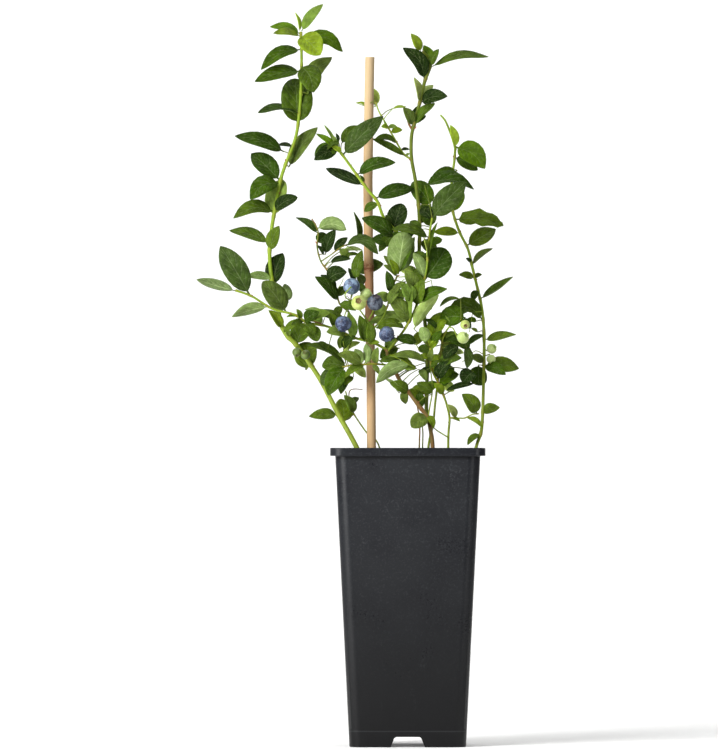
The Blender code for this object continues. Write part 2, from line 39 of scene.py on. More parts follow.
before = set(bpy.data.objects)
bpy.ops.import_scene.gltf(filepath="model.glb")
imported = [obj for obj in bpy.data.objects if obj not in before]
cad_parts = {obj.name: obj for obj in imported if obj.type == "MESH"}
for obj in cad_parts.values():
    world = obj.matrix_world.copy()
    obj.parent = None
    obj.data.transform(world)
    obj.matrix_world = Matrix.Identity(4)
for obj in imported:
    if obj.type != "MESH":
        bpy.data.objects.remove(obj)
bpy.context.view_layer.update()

import math
import random
from collections import namedtuple

import bmesh
import bpy
import numpy as np
from bpy.props import FloatProperty, FloatVectorProperty, IntProperty, PointerProperty
from mathutils import Matrix, Vector, noise

MM = 0.001
POT_AXIS = Vector((0.0475, 0.0, 0.0))  # the pot's axis in the frame
ROOT_Z = 242.0  # the stems' feet, inside the soil
SOIL_Z = 262.0  # the soil's level

# ---------------------------------------------------------------- stems
# Name, bark, the stem it grows from ("" for one that comes out of the soil), radius at the foot and
# at the tip, then the points its axis runs through.
STEMS = [
    ("left_cane", "green_stem", "", 2.7, 1.3, [
        (-28, -17, ROOT_Z), (-49.5, -13, 289), (-67.2, -9, 321), (-85, -5, 355), (-105.6, 0, 385),
        (-119, 3, 400), (-125, 5, 420), (-131.7, 10, 453), (-133.7, 13, 480), (-131.3, 16, 503),
        (-128, 18, 522), (-123, 20, 548), (-118.3, 21, 563), (-108.3, 22, 590), (-104.2, 22, 620),
        (-103, 21, 645), (-102.7, 20, 668), (-103.4, 18, 692)]),
    ("woody_stem", "brown_stem", "", 2.3, 1.5, [
        (25, -2, ROOT_Z), (24.4, -2, 289), (22.7, -2, 303), (19.5, -3, 317), (10, -4, 330),
        (1, -5, 342), (-6.5, -5, 352), (-13.6, -6, 365), (-18.6, -7, 374), (-20, -7, 383)]),
    ("tall_stem", "green_stem", "", 2.0, 1.65, [
        (26, 10, ROOT_Z), (24.4, 9, 289), (21.5, 9, 310), (18.5, 9, 325), (19, 9, 350),
        (19, 8, 385), (16, 7, 420), (12.6, 6, 450), (11.5, 5, 477), (11.9, 3, 499), (11, 1, 519),
        (8, -2, 545), (4, -5, 568), (3.8, -8, 588), (6.2, -10, 600), (12.2, -13, 623),
        (16.6, -16, 642), (21.6, -18, 656), (20.8, -19, 664), (14, -20, 671)]),
    ("centre_cane", "green_stem", "", 1.35, 0.8, [
        (16.5, 4.2, ROOT_Z), (20.4, 3.8, 289), (24.8, 3.7, 311), (27, 3.7, 332), (29.5, 3.7, 352),
        (31.6, 3.5, 372), (32.8, 2, 386), (35.5, 0, 397), (40, -2, 404.5), (46, -4, 409.5),
        (52, -5, 412)]),
    ("right_shoot", "green_stem", "", 1.35, 0.9, [
        (40, 2, ROOT_Z), (39.5, 2, 289), (40, 1, 305), (40.8, 0, 317), (38, -1, 330),
        (34.5, -2, 340), (30.6, -3, 350), (25.5, -4, 359), (22.8, -4, 368), (22.2, -4, 385)]),
    ("right_cane", "green_stem", "", 1.7, 1.2, [
        (54, -5, ROOT_Z), (66.6, -4, 289), (71.2, -3, 303), (72.7, -1, 318), (73.6, 2, 345),
        (74.4, 6, 380), (74, 9, 405), (72, 12, 425), (67.5, 15, 445), (63.2, 17, 463),
        (58.8, 19, 481), (50.5, 21, 498), (44.4, 22, 517), (43, 22, 533), (43.2, 21, 548),
        (45.6, 20, 566), (46.6, 18, 580)]),
    ("rear_twig", "green_stem", "", 0.9, 0.7, [
        (-22, 12, ROOT_Z), (-27.3, 12, 289), (-39.7, 13, 303), (-52, 13, 321), (-56, 14, 330),
        (-60, 15, 343)]),
    ("left_twig", "green_stem", "woody_stem", 1.3, 1.1, [
        (-22, -8.5, 388.3), (-34, -10.5, 390), (-50, -12, 394), (-64, -12.5, 400),
        (-80, -14, 406), (-97, -17, 409), (-110, -20, 417), (-130, -24, 422),
        (-150, -29, 434), (-166, -34, 440)]),
    ("centre_stem", "green_stem", "woody_stem", 1.2, 0.95, [
        (-17, -8, 381), (-10, -9, 393), (-2, -10, 404), (6, -11, 419), (11, -12, 433),
        (15.3, -13, 447), (18.4, -15, 462), (20, -17, 480), (21.4, -20, 496), (23.8, -23, 510)]),
    ("low_twig", "green_stem", "woody_stem", 0.95, 0.7, [
        (-16.5, -8, 366.6), (-30, -11, 369), (-42, -12, 368.6), (-54, -11, 368), (-63, -9, 366)]),
    ("upper_left_twig", "green_stem", "left_twig", 0.95, 0.75, [
        (-50.6, -9, 397), (-54, -6, 412), (-57, -5, 419.5), (-65.5, -3, 427.5), (-69.5, 0, 441),
        (-77, 4, 458.5), (-84, 7, 469), (-87.5, 10, 483), (-86.7, 13, 498), (-92.5, 15, 510)]),
    ("fruit_spur", "green_stem", "left_twig", 0.85, 0.65, [
        (-31.2, -12, 392), (-33, -14, 403), (-37, -15, 408), (-41, -16, 414), (-46, -16, 421),
        (-55, -15, 431)]),
    ("middle_twig", "green_stem", "fruit_spur", 0.9, 0.8, [
        (-30.6, -13, 404.6), (-25, -12, 412), (-19.4, -12, 425), (-16.4, -13, 439), (-9.5, -14, 455)]),
    ("crossing_stem", "green_stem", "tall_stem", 1.75, 1.3, [
        (9.5, 3, 466), (4, -1, 479), (-11, -8, 497), (-23, -10.5, 511), (-29, -11, 526),
        (-38, -11.5, 537), (-49, -12, 552), (-64.6, -15, 573.5)]),
    ("thin_twig", "green_stem", "tall_stem", 1.0, 0.7, [
        (1.2, -3, 566.4), (-4, -2, 573), (-10.5, 1, 584), (-19.5, 5, 600), (-27.5, 9, 614),
        (-30.4, 11, 623)]),
    ("side_twig", "green_stem", "right_shoot", 0.8, 0.6, [
        (43, 0, 317.4), (50, -2, 316.7), (56, -5, 317), (63, -8, 320.4), (69, -10, 321)]),
    ("upper_side_twig", "green_stem", "upper_left_twig", 0.7, 0.6, [
        (-82, 4, 469.6), (-74, 0, 475), (-66, -4, 481), (-60.5, -7, 484)]),
]

# How far each stem, with all it carries, leans away from the front for every unit of its height
# above the soil; the others lean forward. Pieces move along the line of sight from the front.
LEANS = {"left_cane": 0.085, "right_cane": 0.075, "rear_twig": 0.085}
LEAN_FORWARD = -0.095
SIGHT_FROM = np.array((0.0006, -8.07, 0.292))

# Short shoots without a solid of their own: the stem they grow with, radius, bark, points.
SHOOTS = [
    ("centre_cane", 0.9, "red", [
        (11, 5, 250), (11.5, 5, 289), (12, 5, 305), (11.5, 4, 317), (10, 3, 326), (8, 2, 335)]),
    ("centre_cane", 0.8, "green", [(14, 8, 250), (14.8, 8, 289), (15, 8, 303), (14, 8, 318)]),
    ("right_shoot", 0.7, "green", [(39.7, 1, 298), (33, 0, 302), (27, -1, 306), (22, -2, 312)]),
    ("woody_stem", 0.75, "green", [
        (19.8, -3, 316), (22, -5, 330), (23.8, -6, 340), (24, -6, 350), (22.5, -5, 362), (22.5, -4, 367)]),
    ("right_shoot", 0.55, "green", [(34.5, -2, 339), (32.3, -1, 350), (31.5, 0, 360), (31, 1, 372)]),
    ("left_twig", 0.7, "red", [(-79, -14, 406), (-88, -15.5, 409.5), (-97, -17, 411), (-103, -18, 411)]),
    ("left_twig", 0.5, "green", [(-64, -12.5, 399.5), (-62.5, -13, 392), (-61, -13, 385)]),
    ("low_twig", 0.6, "green", [(-42, -12, 368.4), (-39, -12, 374), (-32, -12, 384)]),
    ("low_twig", 0.6, "green", [(-22, -10, 368), (-28, -12, 373), (-33, -13, 378), (-37, -14, 385)]),
    ("crossing_stem", 0.5, "green", [(-63, -15, 572), (-68, -15, 577), (-71, -15, 583), (-68, -16, 591)]),
    ("thin_twig", 0.5, "green", [
        (-19.5, 5, 600), (-23, 4, 606), (-13, 2, 617.5), (-6, 0, 618.8), (-1.5, -1, 618.5)]),
    ("thin_twig", 0.5, "green", [
        (-29.8, 10.5, 620), (-31, 28, 620), (-34, 41, 619.6), (-42, 42, 621), (-50, 40, 624)]),
    ("tall_stem", 1.25, "red", [(4.6, -9, 596), (2, -9.5, 600), (0, -10, 606), (-2, -10, 611)]),
    ("tall_stem", 0.45, "dark", [(14, -14, 630), (20, -15, 628), (24, -16, 621), (26, -16, 622)]),
    ("right_cane", 1.3, "green", [
        (46.9, 18, 577), (44.2, 17, 587), (40.5, 16, 597), (36.5, 15, 606), (32, 15, 611)]),
    ("middle_twig", 0.5, "green", [
        (-9, -14, 453), (0, -14, 453), (3, -14, 447), (4.5, -13, 440), (7, -12, 432)]),
    ("middle_twig", 0.6, "dark", [(-17, -13, 437), (-15, -14, 441), (-9, -15, 446), (-3, -15, 451)]),
    ("centre_stem", 0.5, "green", [(15, -13, 447), (21, -13, 449), (23, -12, 450), (24, -12, 443)]),
    ("woody_stem", 0.6, "green", [
        (-11, -6, 390), (-3, -8, 398), (2, -8, 395), (6, -8, 392), (9, -7, 387), (12, -7, 381)]),
    ("right_cane", 0.45, "green", [(73, 8, 420), (64, 4, 419), (62, 2, 412), (60, 0, 400)]),
    ("right_cane", 0.45, "green", [(74.4, 6, 378), (66, 4, 382), (57, 2, 374), (53, 1, 371)]),
    ("centre_cane", 0.45, "green", [(33, 2, 390), (36, 3, 397), (39, 4, 403)]),
    ("rear_twig", 0.6, "red", [(-57, 14, 335), (-56, 14, 343), (-52, 13, 345), (-43.5, 12, 344.5)]),
    ("upper_left_twig", 0.45, "green", [(-69, -1, 440), (-64, -3, 447), (-62, -4, 452)]),
    ("upper_left_twig", 0.55, "red", [(-87, 13, 499), (-89, 13, 505), (-93, 13, 510)]),
    ("upper_side_twig", 0.45, "dark", [(-60, -7, 484), (-52, -8, 480), (-48, -8, 478)]),
    ("fruit_spur", 0.35, "red", [(-56, -15, 432), (-58.5, -17, 435), (-61, -18, 430)]),
]

# ---------------------------------------------------------------- leaves
Leaf = namedtuple("Leaf", "base tip width tone roll side y0 y1 arch form node")
SLIMMEST = 0.42  # the least width of a blade, as a share of its length
MOST_ROLL = 64.0  # degrees
LONGEST = 1.85  # a blade's real length, in widths
MOST_DEPTH, LEAST_DEPTH = 20.0, 0.12  # of tip behind base, in mm and as a share
PLAIN_ARCH = 0.07  # as a share of the length


def leaf(bx, bz, tx, tz, width, tone, y=0, y1=None, arch=None, roll=None, side=1, form="pointed",
         node=""):
    """One leaf: its blade runs from (bx, bz) to (tx, tz), `width` is what shows of it from the front
    unless `roll`, its turn about the midrib, is given, and side -1 shows the underside. y and y1 are
    the depths of base and tip from the stem. `node` names the solid that the leaf stands for."""
    length = math.hypot(tx - bx, tz - bz)
    if roll is None:
        real = max(width * 1.05, SLIMMEST * length)
        real = min(real, width / math.cos(math.radians(MOST_ROLL)))
        roll = math.degrees(math.acos(min(1.0, width / real)))
        width = real
    if y1 is None:
        depth = math.sqrt(max((LONGEST * width) ** 2 - length ** 2, 0.0))
        depth = max(min(depth, MOST_DEPTH), LEAST_DEPTH * length)
        y1 = y + (depth if y > 0 else -depth)
    if arch is None:
        arch = PLAIN_ARCH * length
    return Leaf((bx, bz), (tx, tz), width, tone, roll, side, y, y1, arch, form, node)


LEAVES = {}
LEAVES["left_cane"] = [
    leaf(-101, 694, -82, 718.5, 10.5, "ash", 0, -9, 2, 15, node="leaf_top_right"),
    leaf(-106, 690, -133.5, 697.5, 10, "fresh", 0, 12, 3, 30, node="leaf_top_left"),
    leaf(-104, 688, -130, 690.5, 7, "moss", -1, -6, 2),
    leaf(-103.5, 694, -108, 711, 3.4, "young", 0, -1, 1),
    leaf(-107, 688, -84.5, 669, 22, "bright", -5, -15, 1, form="round"),
    leaf(-101, 683, -62.5, 674, 15, "fresh", 0, 14, 8.5, 22, node="leaf_arched_right"),
    leaf(-105, 675, -142, 655, 15, "grass", 0, -16, 4.5, 34, node="leaf_curled_left"),
    leaf(-104, 654, -148, 643.5, 17, "grass", 0, -14, 1.8, 34, node="leaf_drooping_left"),
    leaf(-105, 659, -91, 633, 23, "deep", -5, -14, 3, 12),
    leaf(-96, 633, -73.5, 668, 17, "grey", 0, 14, 6, 18, node="leaf_grey_right"),
    leaf(-107, 602, -109, 648, 31, "deep", 6, 12, 0, 5, form="round", node="leaf_round_rear"),
    leaf(-106, 613, -145, 614, 6.5, "dark", -6, -10, 3, form="narrow"),
    leaf(-121, 576, -167, 591, 15.5, "dark", -2, -16, 3, 22, node="leaf_long_left"),
    leaf(-111.5, 581, -126, 582, 4, "black", -2),
    leaf(-114.5, 562, -87.5, 600, 16, "sheen", 7, 10, 2, 25, node="leaf_inner_right"),
    leaf(-128, 549, -152, 575, 20, "dark", 0, 12, 0.5, 15, node="leaf_upper_fan"),
    leaf(-128, 546, -152, 529.5, 19, "grass", -5, -20, 5.5, 20, node="leaf_lower_fan"),
    leaf(-130, 513, -121, 549, 20, "pale", 4, 8, 2, form="round"),
    leaf(-130, 519, -107, 531, 12, "black", -4, -12, 2, form="round"),
    leaf(-134, 518.5, -168.5, 511.5, 16, "deep", 0, -16, 5.5, 34, node="leaf_arched_left"),
    leaf(-137, 487, -173, 499.5, 14, "deep", 0, 16, 2, 36, node="leaf_wavy_left"),
    leaf(-130.5, 479, -124.5, 503, 13, "olive", -3, -9), leaf(-126, 446, -121, 477, 18, "black", 5, 10),
    leaf(-131.5, 451.5, -156, 455, 8, "fresh", -2, -10, 1.5, side=-1),
    leaf(-118.5, 421, -140, 449, 21, "sheen", -8, -16, 1, form="round"),
    leaf(-118, 431, -119, 447, 10, "deep", 6, 14, side=-1, form="round"),
    leaf(-122.5, 403.5, -134, 421, 9, "bright", -3, -12),
    leaf(-106, 390, -98, 408, 18, "deep", 4, 10, 1, form="round"),
    leaf(-98, 365, -96, 391, 22, "olive", 6, 12, 1, 8, form="round"),
    leaf(-72, 318, -95, 318.5, 11, "olive", -3, -13, 1), leaf(-112, 398, -119, 404, 5, "pale", -3),
]
LEAVES["left_twig"] = [
    leaf(-151, 440, -181, 484, 24, "slate", 0, 8, 0, 10, node="leaf_broad_left"),
    leaf(-166, 440, -203.5, 451, 11.5, "black", 0, -10, -1, 32, -1, node="leaf_far_left"),
    leaf(-136, 423, -169.5, 414.5, 11, "olive", -3, -12, 1, side=-1),
    leaf(-108, 415, -117, 414.5, 2.5, "fresh", 0), leaf(-104, 411, -107, 422, 5, "olive", -2),
    leaf(-100, 410, -86, 419, 11, "dark", -5), leaf(-81, 415, -99, 422, 7, "pale", -3, side=-1),
    leaf(-96, 411, -75, 419, 10, "ash", -6), leaf(-61, 411, -91, 421, 9, "deep", 5, 12, 0.5),
    leaf(-68, 404, -77, 419, 8, "olive", -4), leaf(-101, 409, -120, 400, 7, "olive", -3),
    leaf(-103, 408, -112, 407, 6, "deep", -4), leaf(-62, 370, -97, 389, 8, "deep", 2, -6, 3),
    leaf(-78, 385, -85, 391, 4, "deep", 0), leaf(-60, 397, -78, 400, 11, "grey", -4, -11, 2),
    leaf(-95, 403, -87, 391, 13, "deep", -4, -12, form="round"), leaf(-90, 405, -104, 397, 8, "olive", 3),
    leaf(-84, 405, -92, 417, 9, "ash", 3), leaf(-60, 396, -66, 384, 8, "olive", 3),
    leaf(-70, 402, -62, 415, 9, "deep", 3), leaf(-99, 407, -90, 398, 10, "deep", -7, -14, form="round"),
]
LEAVES["upper_left_twig"] = [
    leaf(-66.5, 430, -89, 454, 11, "dark", -3, -10, 2), leaf(-69, 440, -84, 456, 9, "black", 3),
    leaf(-76, 451, -59, 458, 15, "black", -6, -12, 2), leaf(-74, 468, -55, 471, 6, "black", -5, -12, 1),
    leaf(-60, 474, -45, 475, 3.5, "deep", -4), leaf(-62, 479, -44, 480, 4, "silver", -5, side=-1),
    leaf(-87, 501, -59, 499.5, 13, "sheen", -2, -9, 5, side=-1),
    leaf(-79, 477, -70, 500, 12, "black", 2, 6), leaf(-88, 487, -77, 494, 12, "dark", 2, 10, form="round"),
    leaf(-88, 496, -108, 512, 7, "dark", 0, 6, 2), leaf(-85, 485, -81, 475, 3.5, "black", -3),
    leaf(-66, 428, -50, 421, 8, "deep", -6, -12, 1), leaf(-57, 421, -54, 432, 6, "grey", 2),
    leaf(-68, 434, -58, 444, 8, "deep", 4, 10), leaf(-62, 425, -71, 415, 8, "deep", 3, 10),
]
LEAVES["upper_side_twig"] = [
    leaf(-60, 483, -29, 476, 10, "slate", -2, -10, 8), leaf(-47, 488, -51.5, 517, 5.5, "deep", 4, 8, 1),
    leaf(-66, 480, -56, 470, 8, "pale", 3, 9), leaf(-70, 477, -58, 492, 8, "black", 3, 9),
]
LEAVES["fruit_spur"] = [
    leaf(-50, 452, -44, 479, 11, "deep", -5, -9, 1), leaf(-48, 458, -23, 467, 14, "sheen", 35, 40, 2),
    leaf(-53, 450, -57, 462, 5, "black", -2), leaf(-49, 455, -42, 446, 8, "sheen", 4),
    leaf(-48, 446, -42, 438, 7, "ash", 5), leaf(-42, 392, -46, 416, 11, "deep", -3, -9, 1),
    leaf(-36, 390, -37, 410, 10, "olive", -6, -12, 1), leaf(-53, 394, -57, 419, 10, "ash", -3, -9, 1),
    leaf(-40, 413, -28, 424, 8, "deep", 32, 38),
]
LEAVES["crossing_stem"] = [
    leaf(-60, 573, -24, 608.5, 20, "slate", -5, -14, 0.5, 15, node="leaf_over_stake"),
    leaf(-46, 554, -12, 564.5, 14, "dark", -3, -9, 3, 30, node="leaf_right_of_stake"),
    leaf(-44, 541, -79, 560, 13, "black", 0, 13, -1, 35, node="leaf_left_of_stake"),
    leaf(-27.5, 532, 7, 540, 14, "dark", 2, 14, 2), leaf(-42, 544, -46, 552, 2.5, "deep", 0),
    leaf(-14, 499, -6, 525, 19, "black", 3, 8, 0, form="round"),
    leaf(-14, 492, -44, 510, 15, "dark", -4, -14, 3), leaf(-20, 502, -21, 513, 6, "slate", -3, -8),
    leaf(-15, 484, -35, 491, 12, "dark", 3, 9, 2), leaf(-63, 583, -47, 600, 9, "deep", 3, 8, 2),
    leaf(-84, 593, -89, 568, 17, "grass", 0, -10, 0, form="round"),
    leaf(-75, 580, -90, 566, 13, "black", -3, -12, 2), leaf(-76, 582, -88, 592, 6, "fresh", -4),
    leaf(-75, 582, -73, 591, 4, "pale", -5), leaf(-82, 590, -80, 600, 3, "pale", -2),
    leaf(-61, 575, -73, 579, 5, "young", -5), leaf(-77, 577, -66, 585, 4, "deep", -6),
    leaf(-67, 585, -69, 592, 3, "black", -6), leaf(0, 484, -14, 496, 11, "grass", -6, -14),
    leaf(-4, 488, 6, 502, 12, "black", 4, 10), leaf(-28, 524, -42, 517, 8, "deep", 4, 12),
    leaf(-12, 495, -28, 478, 9, "deep", 5, 13),
]
LEAVES["tall_stem"] = [
    leaf(11, 672, 3.5, 688, 9, "bright", -1, -6, 1),
    leaf(14.5, 645, -4, 674, 15, "black", -2, -12, 5.5, 15, node="leaf_dark_crown"),
    leaf(23, 658, 16, 678, 11, "fresh", 1, 6, 1), leaf(22, 657, 30, 673, 8, "deep", -3, -9, 1),
    leaf(24, 656, 78, 667, 11, "deep", 0, -12, 5, 40, form="narrow", node="leaf_long_right"),
    leaf(12, 622, 7, 646, 7, "silver", -2, -7), leaf(13, 623, 25, 640, 9, "silver", 2, 8),
    leaf(14.5, 622, 38, 628, 15, "black", 0, -14, 2, 25, node="leaf_short_right"),
    leaf(5, 600, -4, 617, 10, "sheen", -2, -8), leaf(7, 604, 10, 619, 6, "black", 2),
    leaf(8, 600, 26, 621, 8, "deep", -3, -12, 2), leaf(8, 602, 18, 609, 6, "dark", -4),
    leaf(22, 524, 5, 546, 20, "grass", 5, 10, 1, 10, form="round"),
    leaf(22, 503, 15, 525, 15, "deep", 4, 9, 1, form="round"), leaf(12, 488, 30, 476, 12, "deep", 5, 12),
    leaf(12.5, 452, 2, 436, 12, "deep", 3, 9), leaf(18, 400, 6, 388, 10, "bright", 5, 12),
    leaf(19, 372, 30, 360, 9, "young", 4, 12), leaf(12, 505, 30, 520, 9, "dark", 4, 12),
    leaf(16, 424, 28, 440, 14, "deep", 7, 14), leaf(18, 340, 4, 346, 10, "moss", 3, 10),
]
LEAVES["thin_twig"] = [
    leaf(-31.5, 622, -35, 639, 10, "light", 30, 35, 1, form="round"),
    leaf(-13, 617, -2, 618.5, 2.6, "bright", -2, -4), leaf(-40, 620.8, -49, 624.5, 2.6, "bright", 30),
    leaf(-18.5, 599, -25, 599, 5, "young", -2), leaf(-18.5, 599, -10, 599, 4, "pale", -3),
    leaf(-16, 594, -5, 596, 6, "moss", -2), leaf(-10.5, 583, -32, 587, 6, "deep", -3, -9, 3),
    leaf(-3, 568, -34, 587, 7, "deep", -4, -10, 1, 20, form="narrow"),
    leaf(-6, 577, 2, 577, 3, "black", -3), leaf(-2, 570, 2, 573, 2.5, "grey", -2),
]
LEAVES["middle_twig"] = [
    leaf(-9, 461, -3, 497, 26, "grey", -2, -9, 0, 5, -1, form="round", node="leaf_pale_centre"),
    leaf(-8, 458, 6, 493, 11, "grass", 4, 10, 1), leaf(-12, 460, -23, 474, 8, "grey", 2, 7),
    leaf(-11, 454, -23, 465, 5, "grey", -3, -8), leaf(-11, 455, -17, 470, 7, "moss", -3, -8),
    leaf(-18, 438, -20, 459, 9, "dark", -2, -7), leaf(1, 466, 11, 459, 9, "light", 1),
    leaf(-17, 432, -2, 449, 7, "sheen", -3, -9), leaf(4, 430, -6, 447, 13, "ash", -4, -10),
    leaf(6, 442, -2, 459, 12, "grey", -3, -8), leaf(-18, 430, -29, 437, 9, "pale", -3, -10),
    leaf(-10, 440, -18, 427, 9, "grey", -3, -8), leaf(-16, 440, -4, 430, 12, "light", 3, 10),
    leaf(-20, 425, -32, 417, 10, "pale", 4, 12),
]
LEAVES["centre_stem"] = [
    leaf(25.5, 512, 56, 545, 23, "slate", -2, -8, 1, 10, node="leaf_broad_centre"),
    leaf(19, 451, 37, 481, 29, "dark", 1, 6, -1, 8, form="round", node="leaf_broad_right"),
    leaf(20.5, 470, 28, 506, 5, "deep", -4, -9, 1), leaf(18, 471, 16, 491, 4, "light", -3, -7),
    leaf(20, 491, -15, 500, 10, "deep", -5, -13, 3), leaf(12, 500, 2, 507, 7, "deep", 3),
    leaf(14, 453, 6, 477, 11, "grey", -3, -8, 1, side=-1), leaf(17, 471, 6, 477, 7, "deep", 3),
    leaf(18, 542, 65, 540, 12, "dark", 17, 24, 6), leaf(11, 428, 38, 442, 11, "grass", -4, -12, 3),
    leaf(17, 446, 6, 462, 12, "olive", 3, 8), leaf(1, 411, -18, 434, 15, "grey", -4, -10, 2),
    leaf(3, 411, 4, 440, 7, "ash", -5, -10, 1), leaf(3, 405, -1, 420, 7, "fresh", 3),
    leaf(1, 411, -38, 410, 12, "pale", 3, 10, 3), leaf(-2, 404, -30, 404, 9, "olive", -6, -14, 4),
    leaf(9, 425, 15, 451, 13, "olive", -5, -10, 1), leaf(-9, 394, -22, 384, 10, "ash", 5, 12),
    leaf(12, 433, 24, 422, 10, "deep", 4, 11), leaf(21, 484, 34, 490, 8, "fresh", 4, 12),
    leaf(24, 509, 12, 519, 11, "black", 5, 11),
]
LEAVES["woody_stem"] = [
    leaf(8, 390, -11, 394, 10, "dark", -1, -9),
    leaf(2, 369, -31, 351, 14, "grey", -10, -16, 4, 20, side=-1),
    leaf(18, 371, -17, 377, 8, "grey", -6, -14, 1.5), leaf(6, 366, -17, 378, 5, "bright", -8, -14),
    leaf(-7, 372, -27, 372, 7, "deep", -4, -10), leaf(8, 365, -6, 365, 6, "ash", -2, -10),
    leaf(-9, 384, -27, 375, 12, "deep", 4, 10), leaf(0, 341, -17, 351, 11, "olive", -4, -12),
    leaf(-9, 342, -21, 356, 4, "grey", -6, -12, side=-1), leaf(23, 341, 9, 351, 10, "olive", -4, -11),
    leaf(12, 363, 18, 353, 7, "sheen", -3), leaf(23, 366, 32, 373, 4, "deep", -3),
    leaf(20, 319, 4, 308, 15, "grey", -4, -12, 1, form="round"), leaf(14, 326, 5, 345, 11, "grass", 3, 8),
    leaf(22, 321, 26, 308, 7, "moss", -3), leaf(-2, 345, -2, 330, 8, "grey", 4, 10),
    leaf(0, 344, 12, 336, 9, "bright", 4, 10),
]
LEAVES["right_shoot"] = [
    leaf(7, 404, 30, 436, 12, "light", -8, -14, 2, side=-1),
    leaf(16, 391, 14, 405, 11, "pale", -6, -12, side=-1, form="round"),
    leaf(24, 392, 19, 403, 6, "young", -5), leaf(27, 395, 22, 406, 5, "moss", -3),
    leaf(25, 390, 33, 401, 8, "grass", -4), leaf(22, 413, 39, 421, 16, "moss", 3, 12, 2),
    leaf(28, 404, 17, 413, 5, "dark", 2), leaf(20, 377, 9, 374, 6, "moss", -4),
    leaf(22, 371, 24, 384, 6, "grey", -4), leaf(24, 384, 30, 391, 5, "moss", -5),
    leaf(22, 386, 25, 395, 4, "young", -3), leaf(32, 368, 52, 375, 11, "deep", 0, -8, 3),
    leaf(49, 386, 35, 374, 11, "black", -2, -9, 2),
    leaf(64, 350, 38, 344.5, 6, "black", -3, -10, 1, 20, form="narrow"),
    leaf(33, 351, 50, 360, 12, "fresh", 2, 9, 2), leaf(34, 347, 44, 362, 10, "grass", 3, 8),
    leaf(31, 356, 42, 371, 12, "black", -3, -8, 2), leaf(36, 340, 26, 350, 8, "bright", -4),
    leaf(24, 364, 12, 358, 8, "dark", 4, 10), leaf(30, 352, 18, 342, 9, "fresh", 4, 10),
    leaf(22, 380, 10, 385, 9, "deep", 3, 10), leaf(30, 351, 46, 343, 10, "light", 4, 11),
]
LEAVES["centre_cane"] = [
    leaf(66, 419, 32, 411, 20, "grass", 2, 8, 3, 10), leaf(50, 432, 31, 425, 4, "deep", -2, -8, 2),
    leaf(60, 384, 38, 394, 12, "dark", 1, -8, 3), leaf(35, 384, 43, 392, 7, "light", 4),
    leaf(46, 381, 54, 380, 6, "silver", 0), leaf(57, 385, 58, 365, 9, "slate", -3, -8),
    leaf(63, 361, 54, 351, 15, "black", -3, -10, 1, form="round"),
    leaf(33, 388, 44, 399, 11, "fresh", 5, 12), leaf(36, 398, 22, 392, 10, "bright", 5, 12),
    leaf(33, 370, 44, 385, 13, "olive", 6, 12, form="round"), leaf(32, 378, 22, 368, 9, "young", 5, 11),
    leaf(45, 408, 38, 420, 10, "ash", 3, 9), leaf(30, 356, 46, 366, 12, "dark", 6, 12),
    leaf(52, 412, 62, 404, 8, "dark", 5, 12), leaf(36, 398, 50, 390, 11, "ash", 4, 9),
]
LEAVES["right_cane"] = [
    leaf(48, 580, 75, 559, 22, "fresh", 0, -14, 4, 12, node="leaf_round_right"),
    leaf(47, 570, 69, 558, 13, "grass", 4, 10, 1), leaf(47, 556, 21, 544, 15, "grass", -18, -27, 1, 10),
    leaf(49, 580, 42, 601, 8, "young", -2, -7, 1), leaf(44, 517, 55, 537, 12, "fresh", 3, 8, 1),
    leaf(51, 511, 93, 503.5, 17, "olive", 0, -14, 3.3, 25, form="wavy", node="leaf_ragged_right"),
    leaf(61, 486, 86, 501, 17, "olive", 0, 14, 0, 15, node="leaf_lower_right"),
    leaf(49, 496, 26, 498, 9, "moss", 2, 9, 0.5), leaf(63, 466, 82, 482, 6, "sheen", -2, -9, 1),
    leaf(62, 468, 57, 472, 3.5, "dark", -2), leaf(65, 453, 50, 456, 7, "olive", 0, -5),
    leaf(65, 454, 72, 456, 4.5, "deep", -3), leaf(72, 433, 102, 454, 7, "deep", -2, -10, -2.5),
    leaf(68, 441, 63, 430, 7, "dark", -3), leaf(78, 393, 105, 398, 8.5, "olive", -2, -10, 0),
    leaf(74, 398, 57, 387, 6, "grass", -2, -9), leaf(75, 367, 95, 359, 11, "grass", -4, -12, 2),
    leaf(79, 368, 108.5, 365, 16, "olive", 1, 9, 2, 15, node="leaf_far_right"),
    leaf(69, 367, 69, 348, 18, "dark", 5, 12, 0, form="round"), leaf(73, 371, 61, 377, 8, "sheen", -3, -9),
    leaf(73, 323, 89, 327, 10, "olive", -2, -10, 1), leaf(70, 301, 58, 291, 6, "olive", -2, -7, 2),
    leaf(72, 412, 39, 412, 18, "deep", -3, -10, 12.5, 35), leaf(66, 411, 57, 412, 5, "fresh", -5),
    leaf(67, 401, 62, 404, 3, "moss", -3), leaf(43, 540, 33, 527, 12, "deep", 3, 8),
]
LEAVES["side_twig"] = [
    leaf(47, 318, 39, 330, 7, "silver", -2, -7), leaf(43, 317, 51, 314, 3, "moss", -2),
    leaf(67, 321, 53, 340, 14, "olive", -3, -9, 2), leaf(57, 318, 73, 307, 5, "bright", -2, -8, 1),
]
